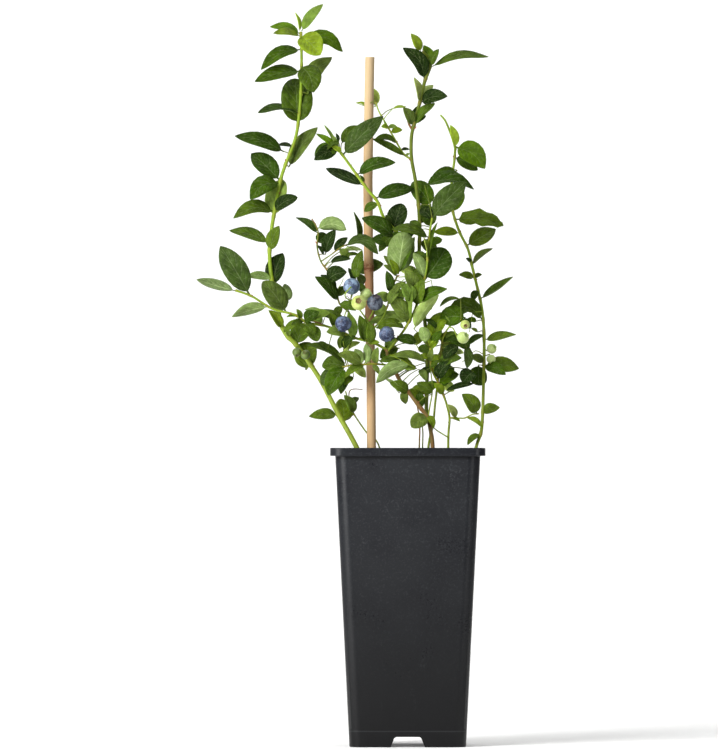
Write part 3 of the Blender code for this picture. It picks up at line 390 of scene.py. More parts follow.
LEAVES["low_twig"] = [
    leaf(-59, 367, -83, 369, 15, "deep", 2, 10, 1, form="round"),
    leaf(-61, 364, -77, 339, 18, "grass", -4, -11, 1),
    leaf(-72, 363, -84, 349, 13, "slate", 3, 10, form="round"),
    leaf(-41, 365, -61, 356, 7, "olive", -4, -9), leaf(-56, 360, -65, 340, 10, "dark", 2, 7),
    leaf(-53, 356, -61, 349, 6, "olive", -3), leaf(-44, 370, -67, 379, 11, "grey", -4, -11, 2),
    leaf(-44, 371, -51, 384, 8, "moss", -5, -10, side=-1),
    leaf(-40, 371, -40, 389, 9, "grey", -3, -8, side=-1), leaf(-30, 367, -29, 385, 7, "grey", -3, -8),
    leaf(-34, 367, -27, 359, 5, "grey", -2), leaf(-61, 384, -51, 396, 8, "dark", 0, -6, 3),
    leaf(-62, 381, -46, 391, 6, "light", 3, 8), leaf(-37, 389, -27, 390, 4.5, "moss", -3),
    leaf(-54, 368, -40, 356, 9, "light", 6, 12), leaf(-48, 368, -60, 376, 8, "deep", 4, 10),
]
LEAVES["rear_twig"] = [
    leaf(-62, 314, -64, 336, 18, "moss", 2, 8, 1, form="round"),
    leaf(-52, 321, -61, 339, 9, "ash", -4, -9, 2), leaf(-55, 329, -47, 337, 6, "deep", 3, 8),
]

# Buds in the leaf axils and at the tips: stem, (x, z), which way it leans (+1 right), size, reddish.
BUDS = [
    ("left_cane", (-126, 535), 1, 1.6, True), ("left_cane", (-117, 566), -1, 1.8, True),
    ("left_cane", (-108, 588), 1, 1.5, False), ("left_cane", (-133, 480), 1, 1.4, False),
    ("left_cane", (-130, 447), 1, 1.6, True), ("left_cane", (-91, 365), 1, 1.4, True),
    ("left_cane", (-103, 630), 1, 1.4, False), ("tall_stem", (6.2, 597), 1, 2.2, True),
    ("tall_stem", (14, 671), -1, 1.8, True), ("tall_stem", (21, 655), -1, 1.6, False),
    ("tall_stem", (2.5, 566), -1, 2.2, True), ("crossing_stem", (-27, 521), 1, 1.6, True),
    ("crossing_stem", (-43, 543), 1, 1.5, True), ("crossing_stem", (-55, 560), 1, 1.4, False),
    ("right_cane", (66, 450), 1, 1.5, True), ("right_cane", (73, 418), -1, 1.4, True),
    ("right_cane", (74, 394), -1, 1.5, False), ("right_cane", (51, 497), 1, 1.5, True),
    ("right_cane", (45, 570), -1, 1.6, True), ("right_cane", (72, 312), 1, 1.3, True),
    ("centre_stem", (11, 433), 1, 1.6, True), ("centre_stem", (19, 470), -1, 1.4, False),
    ("centre_stem", (-9, 394), -1, 1.8, True), ("woody_stem", (10, 330), 1, 2.0, True),
    ("woody_stem", (-6, 352), -1, 1.8, True), ("woody_stem", (-20, 382), -1, 2.2, True),
    ("woody_stem", (20, 316), 1, 1.8, True), ("right_shoot", (30, 351), -1, 1.6, True),
    ("right_shoot", (40, 312), -1, 1.4, False), ("left_twig", (-112, 418), -1, 1.8, True),
    ("left_twig", (-83, 407), 1, 1.5, True), ("left_twig", (-150, 434), 1, 1.6, True),
    ("upper_left_twig", (-84, 468), 1, 1.3, True), ("upper_left_twig", (-87, 486), -1, 1.8, True),
    ("thin_twig", (-10, 584), 1, 1.2, True), ("middle_twig", (-9.5, 454), 1, 1.8, True),
    ("side_twig", (45, 317), 1, 1.1, True), ("low_twig", (-44, 369), -1, 1.4, True),
]

# ---------------------------------------------------------------- berries
# The solid it stands for, skin, centre (x, y, z), radius, stem, points its stalk passes through from
# the berry outward, and the point of the stem that carries it.
BERRIES = [
    ("berry_upper_blue", "ripe", (-54, -21, 444), 8.1, "fruit_spur",
     [(-55.2, -30.5, 442.6), (-60, -29, 437), (-59.6, -22, 433)], (-54, -15, 430)),
    ("berry_left_blue", "dusky", (-62, -22, 408), 8.0, "upper_left_twig",
     [(-60.3, -20, 417.5), (-58.5, -13, 421)], (-57.5, -5, 420)),
    ("berry_green_front", "green", (-47, -28, 428), 7.4, "fruit_spur",
     [(-46.6, -19, 425.5)], (-46, -16, 421)),
    # This berry's pale skin is a lighter copy of the green one: painted light on a berry that sits in
    # shade.
    ("berry_green_rear", "pale", (-40, -13, 436), 6.0, "fruit_spur",
     [(-42.5, -14.5, 428)], (-46, -16, 421)),
    ("berry_dark", "dark", (-31.5, -25, 428), 8.0, "fruit_spur",
     [(-33.5, -20, 419.5), (-36.5, -17, 414)], (-39, -15.5, 411)),
    ("berry_right_blue", "dusky", (-20.3, -21, 398), 7.9, "fruit_spur",
     [(-27.6, -18.5, 403.4), (-30.5, -17.5, 404.5)], (-34, -14.3, 404.4)),
    ("berry_pale_lower", "pale", (53.6, -15, 394.5), 6.0, "centre_cane",
     [(49.5, -10.5, 391.5), (44.5, -8, 403)], (40.5, -2.5, 405)),
    ("berry_pale_upper", "green", (55.6, -13, 407), 4.7, "centre_cane",
     [(54.8, -6.5, 409)], (50, -4.5, 411.2)),
    ("berry_right_upper", "pale", (81.6, 5, 384), 4.9, "right_cane",
     [(77.8, 8.5, 381.8)], (74.4, 6, 383.5)),
    ("berry_right_lower", "pale", (81, 1, 374), 4.5, "right_cane",
     [(79.6, 4, 378.6)], (74.2, 5, 377)),
    ("berry_left_front", "olive", (-107, -9.2, 380.4), 4.6, "left_cane",
     [(-107.8, -5.5, 384.5)], (-107, 0, 387)),
    ("berry_left_rear", "olive", (-98.6, -14.5, 378), 4.7, "left_cane",
     [(-97.4, -9.4, 374.5)], (-99, -2, 373)),
]

# The cane's axis from its foot in the soil to its top, with its radius: (x, z, radius).
STAKE = [(-34.6, 120, 4.3), (-34.7, 245, 4.4), (-34.8, 289, 4.4), (-35.3, 354, 4.4), (-36.4, 410, 4.4),
         (-37.2, 452, 4.4), (-37.3, 458, 4.55), (-37.4, 460.4, 4.95), (-37.4, 461.6, 4.55),
         (-37.4, 463.2, 5.0), (-37.5, 466, 4.7), (-37.6, 471, 4.5), (-38.3, 547, 4.6), (-37.7, 588, 4.6),
         (-36.9, 640, 4.5), (-36.4, 666, 4.5)]

TONES = {
    "black": (22, 41, 1), "dark": (43, 67, 3), "slate": (54, 73, 24), "grass": (58, 85, 3),
    "deep": (65, 87, 13), "olive": (80, 102, 19), "sheen": (82, 100, 38), "fresh": (80, 111, 5),
    "grey": (96, 115, 44), "moss": (102, 125, 18), "ash": (109, 136, 50),
    "bright": (124, 147, 30), "pale": (129, 153, 66), "silver": (158, 174, 94),
    "young": (165, 193, 52), "light": (189, 210, 98),
}


# ---------------------------------------------------------------- sizes and colours a user may change
def colour_property(name, description, rgb):
    return FloatVectorProperty(name=name, description=description, subtype="COLOR", size=4, min=0.0,
                               max=1.0, default=tint(*rgb))


def shade(rgb):
    """A display colour of 0 to 255 as scene-linear red, green and blue."""
    parts = [c / 255.0 for c in rgb]
    return tuple(c / 12.92 if c <= 0.04045 else ((c + 0.055) / 1.055) ** 2.4 for c in parts)


def tint(*rgb):
    """A display colour of 0 to 255 for a colour socket."""
    return (*shade(rgb), 1.0)


def factor_property(name, description, default, least, most):
    return FloatProperty(name=name, description=description, default=default, min=least, max=most)


def length_property(name, description, mm):
    return FloatProperty(name=name, description=description, default=mm * MM, min=0.0,
                         subtype="DISTANCE", unit="LENGTH", precision=5)


class PotSettings(bpy.types.PropertyGroup):
    height: length_property("Height", "Height of the pot", 288.0)
    rim_width: length_property("Rim width", "Outer width of the rim collar", 149.4)
    rim_band: length_property("Rim band", "Height of the rim collar", 7.8)
    top_width: length_property("Body width at the top", "Outer width just under the collar", 139.6)
    foot_width: length_property("Body width at the foot", "Outer width at the ground", 112.4)
    wall: length_property("Wall", "Thickness of the plastic", 1.8)
    floor_height: length_property("Floor height", "Underside of the raised floor", 15.4)
    corner: length_property("Corner radius", "Radius of the upright corners", 12.5)
    plastic: colour_property("Plastic", "Colour of the pot", (28, 29, 33))


class SoilSettings(bpy.types.PropertyGroup):
    level: length_property("Level", "Height of the soil in the pot", SOIL_Z)
    lump: length_property("Lumps", "Height of the lumps on top", 3.0)
    crumbs: IntProperty(name="Crumbs", description="Pieces of bark and grit on the soil", default=170,
                        min=0, max=600)
    peat: colour_property("Peat", "Colour of the soil", (58, 42, 30))


class StakeSettings(bpy.types.PropertyGroup):
    girth: factor_property("Girth", "Factor on the cane's radius", 1.0, 0.5, 1.5)
    cane: colour_property("Cane", "Colour of the dry cane", (184, 157, 119))
    scar: colour_property("Scar", "Colour of the node's scar", (110, 62, 38))


class StemSettings(bpy.types.PropertyGroup):
    sides: IntProperty(name="Sides", description="Faces round a stem, in quarters", default=2, min=1,
                       max=6)
    step: length_property("Ring step", "Distance between the rings of a stem", 2.5)
    swelling: factor_property("Swelling", "How much a stem thickens at a leaf", 0.24, 0.0, 1.0)
    green: colour_property("Green bark", "Colour of the young stems", (122, 150, 28))
    olive: colour_property("Olive bark", "Colour of the older green stems", (80, 98, 14))
    brown: colour_property("Brown bark", "Colour of the woody stems", (122, 82, 48))
    reddish: colour_property("Joints", "Reddish colour at the leaf joints", (150, 92, 48))


class LeafSettings(bpy.types.PropertyGroup):
    thickness: length_property("Thickness", "Thickness of a leaf", 0.4)
    stalk: factor_property("Stalk", "Share of a leaf's length that is its stalk", 0.07, 0.0, 0.3)
    fold: factor_property("Fold", "How far the edges rise along the midrib", 0.26, 0.0, 1.0)
    brightness: factor_property("Brightness", "Factor on every leaf's colour", 1.0, 0.2, 2.0)
    underside: colour_property("Underside", "Pale colour of the leaves' undersides", (120, 142, 84))


class BerrySettings(bpy.types.PropertyGroup):
    plumpness: factor_property("Plumpness", "Factor on the berries' radius", 1.0, 0.6, 1.1)
    bloom: colour_property("Bloom", "Waxy bloom on the ripe berries", (132, 152, 176))
    ripe: colour_property("Ripe skin", "Skin under the bloom", (40, 48, 76))
    unripe: colour_property("Unripe skin", "Colour of the green berries", (154, 172, 80))


class StageSettings(bpy.types.PropertyGroup):
    floor: colour_property("Floor", "Colour of the floor and backdrop", (244, 244, 243))
    air: factor_property("Air", "Strength of the light from all round", 0.11, 0.0, 2.0)
    lens: FloatProperty(name="Lens", description="Focal length", default=400.0, min=20.0, max=600.0,
                        subtype="DISTANCE_CAMERA")
    distance: FloatProperty(name="Distance", description="Camera to the bush", default=8.07,
                            min=0.5, max=20.0, subtype="DISTANCE", unit="LENGTH")


# ---------------------------------------------------------------- modelling by hand, in small steps
def place(x, y, z):
    """A point given in mm from the pot's axis, in the frame in metres."""
    return Vector((x, y, z)) * MM + POT_AXIS


def only(*pieces):
    """Select these pieces alone; the first becomes the active one."""
    bpy.ops.object.select_all(action="DESELECT")
    for piece in pieces:
        piece.select_set(True)
    bpy.context.view_layer.objects.active = pieces[0]


def newest(name):
    """Name the piece that was made last."""
    piece = bpy.context.view_layer.objects.active
    piece.name = name
    piece.data.name = name
    return piece


def edit(piece):
    only(piece)
    bpy.ops.object.mode_set(mode="EDIT")
    bpy.ops.mesh.select_all(action="DESELECT")


def shape(piece):
    """Start to shape a new primitive by hand, in edit mode."""
    settle(piece)
    edit(piece)


def pick(test, kind="verts"):
    """In edit mode, select exactly the vertices, edges or faces that pass a test."""
    bpy.ops.mesh.select_mode(type=kind[:-1].upper())
    bpy.ops.mesh.select_all(action="DESELECT")
    mesh = bpy.context.edit_object.data
    grid = bmesh.from_edit_mesh(mesh)
    found = [item for item in getattr(grid, kind) if test(item)]
    for item in found:
        item.select_set(True)
    grid.select_flush_mode()
    bmesh.update_edit_mesh(mesh)
    if not found:
        raise RuntimeError("nothing to select on " + bpy.context.edit_object.name)


def done():
    """Leave edit mode."""
    bpy.ops.object.mode_set(mode="OBJECT")


def move(x=0.0, y=0.0, z=0.0):
    bpy.ops.transform.translate(value=(x, y, z))


def scale(x, y, z, about=(0.0, 0.0, 0.0)):
    bpy.ops.transform.resize(value=(x, y, z), center_override=about)


def extrude(x=0.0, y=0.0, z=0.0):
    bpy.ops.mesh.extrude_region_move(TRANSFORM_OT_translate={"value": (x, y, z)})


def bevel(width, segments):
    bpy.ops.mesh.bevel(offset=width, segments=segments, affect="EDGES")


def tidy(piece, angle=None):
    """Merge doubles, turn every face outward and smooth the piece."""
    only(piece)
    bpy.ops.object.mode_set(mode="EDIT")
    bpy.ops.mesh.select_all(action="SELECT")
    bpy.ops.mesh.remove_doubles(threshold=1e-6)
    bpy.ops.mesh.normals_make_consistent(inside=False)
    done()
    if angle is not None:
        bpy.ops.object.shade_smooth_by_angle(angle=math.radians(angle))
    else:
        bpy.ops.object.shade_smooth()


def discard(*pieces):
    only(*pieces)
    bpy.ops.object.delete()


def coat(piece, name):
    """Give a piece this material alone."""
    piece.data.materials.clear()
    piece.data.materials.append(materials[name])


def turn(piece, rotation):
    piece.rotation_mode = "QUATERNION"
    piece.rotation_quaternion = rotation


def settle(piece):
    """Leave a finished piece at the origin, unturned and unscaled."""
    only(piece)
    bpy.ops.object.transform_apply(location=True, rotation=True, scale=True)


def apply_all(piece):
    only(piece)
    for modifier in [m.name for m in piece.modifiers]:
        bpy.ops.object.modifier_apply(modifier=modifier)


def cut(piece, cutter, operation="DIFFERENCE"):
    only(piece)
    modifier = piece.modifiers.new("cut", "BOOLEAN")
    modifier.operation = operation
    modifier.solver = "EXACT"
    modifier.object = cutter
    bpy.ops.object.modifier_apply(modifier="cut")
    discard(cutter)


def copy_of(piece, name):
    """A copy with its own mesh."""
    made = piece.copy()
    made.data = piece.data.copy()
    made.name = made.data.name = name
    bpy.context.scene.collection.objects.link(made)
    return made


def join(name, pieces):
    """One piece from several."""
    only(*pieces)
    if len(pieces) > 1:
        bpy.ops.object.join()
    return newest(name)


def lean(piece, stem):
    """Carry a piece to the depth its stem leans to, with the same outline from the front."""
    places = np.empty(len(piece.data.vertices) * 3)
    piece.data.vertices.foreach_get("co", places)
    spots = places.reshape(-1, 3)
    out = LEANS.get(stem, LEAN_FORWARD) * np.maximum(spots[:, 2] - SOIL_Z * MM, 0.0)
    sight = spots - SIGHT_FROM
    spots += sight * (out / sight[:, 1])[:, None]
    piece.data.vertices.foreach_set("co", places)
    piece.data.update()


def finish_piece(piece, nodes=(), stem=""):
    """Set a piece in the model: its lean, its body and the solids it stands for."""
    settle(piece)
    if stem:
        lean(piece, stem)
    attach(piece, "root")
    if nodes:
        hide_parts(*nodes)


# ---------------------------------------------------------------- lines of the stems
def smooth_path(points, step):
    """Points about `step` apart on a smooth curve through the given ones."""
    pts = [Vector(p) for p in points]
    ends = [pts[0] * 2 - pts[1]] + pts + [pts[-1] * 2 - pts[-2]]
    out = []
    for i in range(1, len(ends) - 2):
        a, b, c, d = ends[i - 1:i + 3]
        parts = max(1, round((c - b).length / step))
        for k in range(parts):
            t = k / parts
            out.append(0.5 * (2 * b + (c - a) * t + (2 * a - 5 * b + 4 * c - d) * t * t
                              + (3 * b - a - 3 * c + d) * t ** 3))
    out.append(pts[-1])
    return out


def nearest(stem, x, z):
    """The place on a stem nearest to (x, z) from the front: centre, direction and radius, in mm."""
    path, radii = LINES[stem]
    best = None
    for i in range(len(path) - 1):
        a, b = path[i], path[i + 1]
        line = Vector((b.x - a.x, b.z - a.z))
        t = Vector((x - a.x, z - a.z)).dot(line) / max(line.length_squared, 1e-9)
        t = min(max(t, 0.0), 1.0)
        centre = a.lerp(b, t)
        far = math.hypot(centre.x - x, centre.z - z)
        if best is None or far < best[0]:
            best = (far, centre, (b - a).normalized(), radii[i] * (1 - t) + radii[i + 1] * t)
    return best[1:]


def draw_lines(step):
    """Every stem's axis and radii, parents first."""
    for name, _, parent, foot, tip, points in STEMS:
        if parent:
            centre = nearest(parent, points[0][0], points[0][2])[0]
            path = smooth_path([centre] + points[1:], step)
        else:
            path = smooth_path(points, step)
        LINES[name] = (path, tapered(path, foot, tip))


FAR_OUT = 5.0  # a leaf further out than this has a twig, in mm
ON_AXIS = 0.2  # a leaf this near the axis points to its own tip
STALK_ON_TWIG = 1.5  # how far a stalk starts before its twig's end, in mm
STALK_DEPTH = 0.6  # where a stalk starts, as a share of the stem's radius
STALK_SLIDE = 0.3  # how much of its way along the stem it keeps


def foot_of(spec, stem):
    """A leaf's place in mm: the stem's centre, the start of the stalk, the tip, and for a leaf far
    from its stem, which stands on a thin twig of its own, that twig's end."""
    centre, along, radius = nearest(stem, *spec.base)
    base = Vector((spec.base[0], centre.y + spec.y0, spec.base[1]))
    tip = Vector((spec.tip[0], centre.y + spec.y1, spec.tip[1]))
    out = base - centre
    out -= along * out.dot(along)
    if out.length > radius + FAR_OUT:
        return centre, base - (tip - base).normalized() * STALK_ON_TWIG, tip, base
    if out.length < ON_AXIS:
        out = (tip - centre) - along * (tip - centre).dot(along)
    start = centre + out.normalized() * radius * STALK_DEPTH
    start += along * (base - centre).dot(along) * STALK_SLIDE
    return centre, start, tip, None


def plan(step):
    """Lay out the stems' axes, the joints where leaves sit, and the twigs of the far leaves."""
    draw_lines(step)
    for stem, specs in LEAVES.items():
        for spec in specs:
            centre, start, _, base = foot_of(spec, stem)
            JOINTS.setdefault(stem, []).append(centre)
            if base is not None:
                TWIGS.setdefault(stem, []).append((centre, start, base))


LINES, TWIGS, JOINTS = {}, {}, {}


# ---------------------------------------------------------------- leaves, one shape copied
ROWS, COLUMNS = 12, 4
ROW_PLACES = (0.03, 0.10, 0.20, 0.32, 0.45, 0.58, 0.70, 0.81, 0.90, 0.96, 1.0)
STALK_WIDTH, TIP_WIDTH = 0.075, 0.02  # shares of the blade's own width
EDGE_LIFT, INNER_LIFT = 0.5, 0.36  # the fold at the edge, and its share half way out
LEAF_SEED = 7
CROWN = (0.03, 0.10)  # how far a blade bulges, as shares of its length
CROWN_TAKEN_BACK = 0.8  # the share of the bulge that leaves the arch as given
TWIST, TWIST_SHARES = 16.0, (0.35, 0.0, -1.0)  # degrees, and shares at base, middle and tip
DROOP = 0.05  # the most that a tip droops, as a share of the length
FOLDS = (0.5, 1.9)  # least and most fold, as shares of the setting
UNEVEN, WARMTH = 0.05, 0.03  # how far the blades' brightness and warmth differ
# A blade's half width along its length, by form.
PROFILES = {
    "pointed": lambda t: (t ** 0.62) * ((1 - t) ** 0.86),
    "round": lambda t: (t ** 0.50) * ((1 - t) ** 0.62),
    "narrow": lambda t: (t ** 0.75) * ((1 - t) ** 0.8),
    "wavy": lambda t: (t ** 0.50) * ((1 - t) ** 0.62),
}


def model_blade(form, stalk):
    """One leaf of unit length along x, with its stalk, half a unit wide either side of the midrib."""
    bpy.ops.mesh.primitive_grid_add(x_subdivisions=ROWS, y_subdivisions=COLUMNS, size=1.0,
                                    location=(0.5, 0.0, 0.0))
    blade = newest("blade_" + form)
    shape(blade)
    rows = [i / ROWS for i in range(ROWS + 1)]
    peak = max(PROFILES[form](i / 50) for i in range(1, 50))
    places = [0.0, stalk] + [stalk + (1 - stalk) * share for share in ROW_PLACES]
    widths = [STALK_WIDTH, STALK_WIDTH]
    for put in places[2:]:
        t = (put - stalk) / (1 - stalk)
        widths.append(PROFILES[form](t) / peak if t < 1 else TIP_WIDTH)
    for i, (old, new, half) in enumerate(reversed(list(zip(rows, places, widths)))):
        pick(lambda v: abs(v.co.x - old) < 1e-3)
        scale(1.0, 2.0 * half, 1.0)
        move(x=new - old)
        lift = EDGE_LIFT * half
        if form == "wavy":
            lift *= 1.0 + 0.9 * math.sin(2.3 * i)
        pick(lambda v: abs(v.co.x - new) < 1e-3 and abs(v.co.y) > 0.8 * half)
        move(z=lift)
        pick(lambda v: abs(v.co.x - new) < 1e-3 and 0.3 * half < abs(v.co.y) < 0.7 * half)
        move(z=INNER_LIFT * EDGE_LIFT * half)
    done()
    blade.modifiers.new("hang", "CURVE").deform_axis = "POS_X"
    blade.data.materials.append(materials["leaf_upper"])
    blade.data.materials.append(materials["leaf_underside"])
    return blade


# ---------------------------------------------------------------- materials
materials = {}


def node(tree, kind, inputs=None, **settings):
    """Add a node, set its properties, and fill its inputs with values or other nodes' outputs."""
    made = tree.nodes.new("ShaderNode" + kind)
    for key, value in settings.items():
        setattr(made, key, value)
    for key, value in (inputs or {}).items():
        if isinstance(value, bpy.types.NodeSocket):
            tree.links.new(value, made.inputs[key])
        else:
            made.inputs[key].default_value = value
    return made


def maths(tree, operation, *values):
    return node(tree, "Math", dict(enumerate(values)), operation=operation).outputs[0]


def times(tree, first, second):
    return maths(tree, "MULTIPLY", first, second)


def away(tree, value, middle):
    """How far a value is from a middle one, either way."""
    return maths(tree, "ABSOLUTE", maths(tree, "SUBTRACT", value, middle))


def span(tree, value, low, high, out_low=0.0, out_high=1.0, smooth=True):
    """Map a value from low..high onto out_low..out_high."""
    return node(tree, "MapRange", {0: value, 1: low, 2: high, 3: out_low, 4: out_high},
                interpolation_type="SMOOTHSTEP" if smooth else "LINEAR").outputs[0]


def mix(tree, factor, first, second, mode="MIX"):
    made = node(tree, "Mix", {0: factor, 6: first, 7: second}, data_type="RGBA",
                blend_type=mode)
    return made.outputs[2]


def veil(tree, below, rgb, value, low, high, most):
    """Lay a colour over another, from nothing where `value` is low to `most` where it is high."""
    return mix(tree, span(tree, value, low, high, 0.0, most), below, tint(*rgb))


def speckle(tree, where, size, detail=3.0, rough=0.55):
    """Noise with features `size` metres across."""
    return node(tree, "TexNoise", {"Vector": where, "Scale": 1.0 / size, "Detail": detail,
                                             "Roughness": rough}).outputs["Fac"]


def lengthwise(tree, where, share):
    """A place whose height counts only for this share, so that a pattern runs upward in streaks."""
    return node(tree, "Mapping", {"Vector": where, "Scale": (1.0, 1.0, share)}).outputs[0]


def painted(tree, name, output="Color"):
    """A colour or mask that the mesh carries in a named attribute."""
    return node(tree, "Attribute", attribute_name=name).outputs[output]


def axes(tree, where):
    return node(tree, "SeparateXYZ", {0: where}).outputs


def new_group(name, colours, values):
    """A shared effect with these inputs, which gives a colour, a roughness and a height."""
    group = bpy.data.node_groups.new(name, "ShaderNodeTree")
    sockets = [(key, "INPUT", "Color") for key in colours]
    sockets += [(key, "INPUT", "Float") for key in values]
    sockets += [("Colour", "OUTPUT", "Color"), ("Roughness", "OUTPUT", "Float"),
                ("Height", "OUTPUT", "Float")]
    for key, way, kind in sockets:
        group.interface.new_socket(name=key, in_out=way, socket_type="NodeSocket" + kind)
    return group, group.nodes.new("NodeGroupInput").outputs


def end_group(group, colour, rough, height):
    out = group.nodes.new("NodeGroupOutput").inputs
    for socket, value in zip(out, (colour, rough, height)):
        group.links.new(value, socket)
    return group


def use_group(tree, group, values):
    """Place a shared effect with values of its own."""
    return node(tree, "Group", values, node_tree=group).outputs


def new_material(name, **constants):
    """A material whose shader keeps its constants on its own sockets."""
    made = bpy.data.materials.new(name + "_finish")
    made.use_nodes = True
    shader = made.node_tree.nodes["Principled BSDF"]
    for key, value in constants.items():
        shader.inputs[key.replace("_", " ")].default_value = value
    materials[name] = made
    return made.node_tree, shader


def connect(tree, shader, colour=None, rough=None, height=None, relief=0.0004, strength=0.5):
    if colour is not None:
        tree.links.new(colour, shader.inputs["Base Color"])
    if rough is not None:
        tree.links.new(rough, shader.inputs["Roughness"])
    if height is not None:
        bump = node(tree, "Bump", {"Height": height, "Strength": strength,
                                             "Distance": relief})
        tree.links.new(bump.outputs[0], shader.inputs["Normal"])


def dress(tree, shader, effect, relief, strength):
    """Feed a shader from a shared effect's three outputs."""
    connect(tree, shader, effect["Colour"], effect["Roughness"], effect["Height"], relief, strength)


def object_place(tree):
    return node(tree, "TexCoord").outputs["Object"]


SIDE_VEINS, VEIN_SLANT = 8.5, -0.26  # pairs along the blade, and how they run to the tip
NET_CELLS = 620.0  # cells of the vein net in a metre
MOTTLE_SIZE, PAINTED_GLINT_SIZE, FINE_SIZE = 0.007, 0.0026, 0.0016  # metres


def leaf_group():
    """Midrib, side veins and mottling of a blade, read from its own UV map, with painted glints:
    small painted highlights on the vein crests.
    """
    group, given = new_group("leaf_veins", ("Colour", "Vein", "Shine"),
                             ("Vein Strength", "Mottling", "Glints", "Gloss"))
    uv = axes(group, node(group, "UVMap", uv_map="UVMap").outputs[0])
    aside = times(group, away(group, uv["Y"], 0.5), 2.0)
    wide = maths(group, "MULTIPLY_ADD", uv["X"], -0.05, 0.085)
    midrib = span(group, maths(group, "DIVIDE", aside, wide), 0.35, 1.0)
    midrib = maths(group, "SUBTRACT", 1.0, midrib)
    phase = times(group, maths(group, "MULTIPLY_ADD", aside, VEIN_SLANT, uv["X"]), SIDE_VEINS)
    crest = times(group, away(group, maths(group, "FRACT", phase), 0.5), 2.0)
    side = times(group, span(group, crest, 0.80, 1.0), span(group, aside, 0.98, 0.55))
    where = object_place(group)
    net = node(group, "TexVoronoi", {"Vector": where, "Scale": NET_CELLS},
               feature="DISTANCE_TO_EDGE").outputs["Distance"]
    net = span(group, net, 0.10, 0.0)
    veins = maths(group, "MAXIMUM", midrib, times(group, side, 0.55))
    seen = maths(group, "MAXIMUM", veins, times(group, net, 0.16))
    colour = mix(group, times(group, seen, given["Vein Strength"]), given["Colour"], given["Vein"])
    spots = span(group, speckle(group, where, MOTTLE_SIZE, 4.0, 0.62), 0.32, 0.70)
    dark = maths(group, "MULTIPLY_ADD", maths(group, "SUBTRACT", spots, 0.5), given["Mottling"], 1.0)
    dark = times(group, dark, span(group, aside, 0.90, 1.0, 1.0, 1.25))
    grey = node(group, "CombineColor", {0: dark, 1: dark, 2: dark}).outputs[0]
    colour = mix(group, 1.0, colour, grey, "MULTIPLY")
    # Painted highlight: small spots along the vein crests are mixed toward a paler colour, as glints of
    # light.
    painted_glint = times(group, span(group, speckle(group, where, PAINTED_GLINT_SIZE, 4.0, 0.7), 0.50, 0.64),
                  span(group, crest, 0.25, 0.9, 0.35, 1.0))
    colour = mix(group, times(group, painted_glint, given["Glints"]), colour, given["Shine"])
    fine = speckle(group, where, FINE_SIZE, 2.0)
    rough = maths(group, "MULTIPLY_ADD", fine, 0.16, given["Gloss"])
    rough = maths(group, "MULTIPLY_ADD", spots, 0.08, rough)
    quilt = maths(group, "MULTIPLY_ADD", crest, -0.35, times(group, net, -0.25))
    height = maths(group, "MULTIPLY_ADD", fine, 0.25, maths(group, "SUBTRACT", quilt, veins))
    return end_group(group, colour, rough, height)


def build_leaf_materials(context, group):
    settings = context.scene.bush_leaves
    tree, shader = new_material("leaf_upper", Subsurface_Weight=0.05, Subsurface_Scale=0.0012,
                                Subsurface_Radius=(0.4, 1.0, 0.2), Specular_IOR_Level=0.06)
    tone = painted(tree, "leaf_colour")
    pale = mix(tree, 0.45, tone, tint(138, 156, 104))
    # Painted highlight: the paler colour laid over the blade where its glints are.
    painted_highlight = mix(tree, 0.24, tone, tint(176, 190, 130))
    made = use_group(tree, group, {"Colour": tone, "Vein": pale, "Shine": painted_highlight, "Vein Strength": 0.5,
                                   "Mottling": 0.6, "Glints": 0.5, "Gloss": 0.24})
    dress(tree, shader, made, 0.0009, 0.7)
    tree, shader = new_material("leaf_underside", Subsurface_Weight=0.06, Subsurface_Scale=0.0012,
                                Subsurface_Radius=(0.4, 1.0, 0.2), Specular_IOR_Level=0.08)
    tone = painted(tree, "leaf_colour")
    under = mix(tree, 0.62, tone, tuple(settings.underside))
    pale = mix(tree, 0.5, under, tint(196, 214, 150))
    # The underside's glints are painted highlights too, in its pale vein colour.
    made = use_group(tree, group, {"Colour": under, "Vein": pale, "Shine": pale, "Vein Strength": 0.9,
                                   "Mottling": 0.5, "Glints": 0.3, "Gloss": 0.5})
    connect(tree, shader, made["Colour"], made["Roughness"], times(tree, made["Height"], -1.0),
            0.0005, 0.5)


def bark_group():
    """Lengthwise streaks, flecks and reddish leaf joints of a stem."""
    group, given = new_group("bark", ("Bark", "Streak", "Joint"), ("Streaking",))
    where = object_place(group)
    streak = speckle(group, lengthwise(group, where, 0.14), 0.0012, 3.0, 0.6)
    patch = speckle(group, where, 0.016, 2.0)
    uneven = maths(group, "MULTIPLY_ADD", patch, 0.5, times(group, streak, 0.5))
    amount = times(group, span(group, uneven, 0.38, 0.66), given["Streaking"])
    colour = mix(group, amount, given["Bark"], given["Streak"])
    joint = painted(group, "joint", "Fac")
    joint = times(group, joint, span(group, streak, 0.36, 0.66, 0.0, 0.8))
    colour = mix(group, joint, colour, given["Joint"])
    return end_group(group, colour, maths(group, "MULTIPLY_ADD", patch, 0.25, 0.36),
                     maths(group, "MULTIPLY_ADD", joint, 0.8, streak))


OLD_BARK = (0.34, 0.46)  # the heights between which green bark turns young


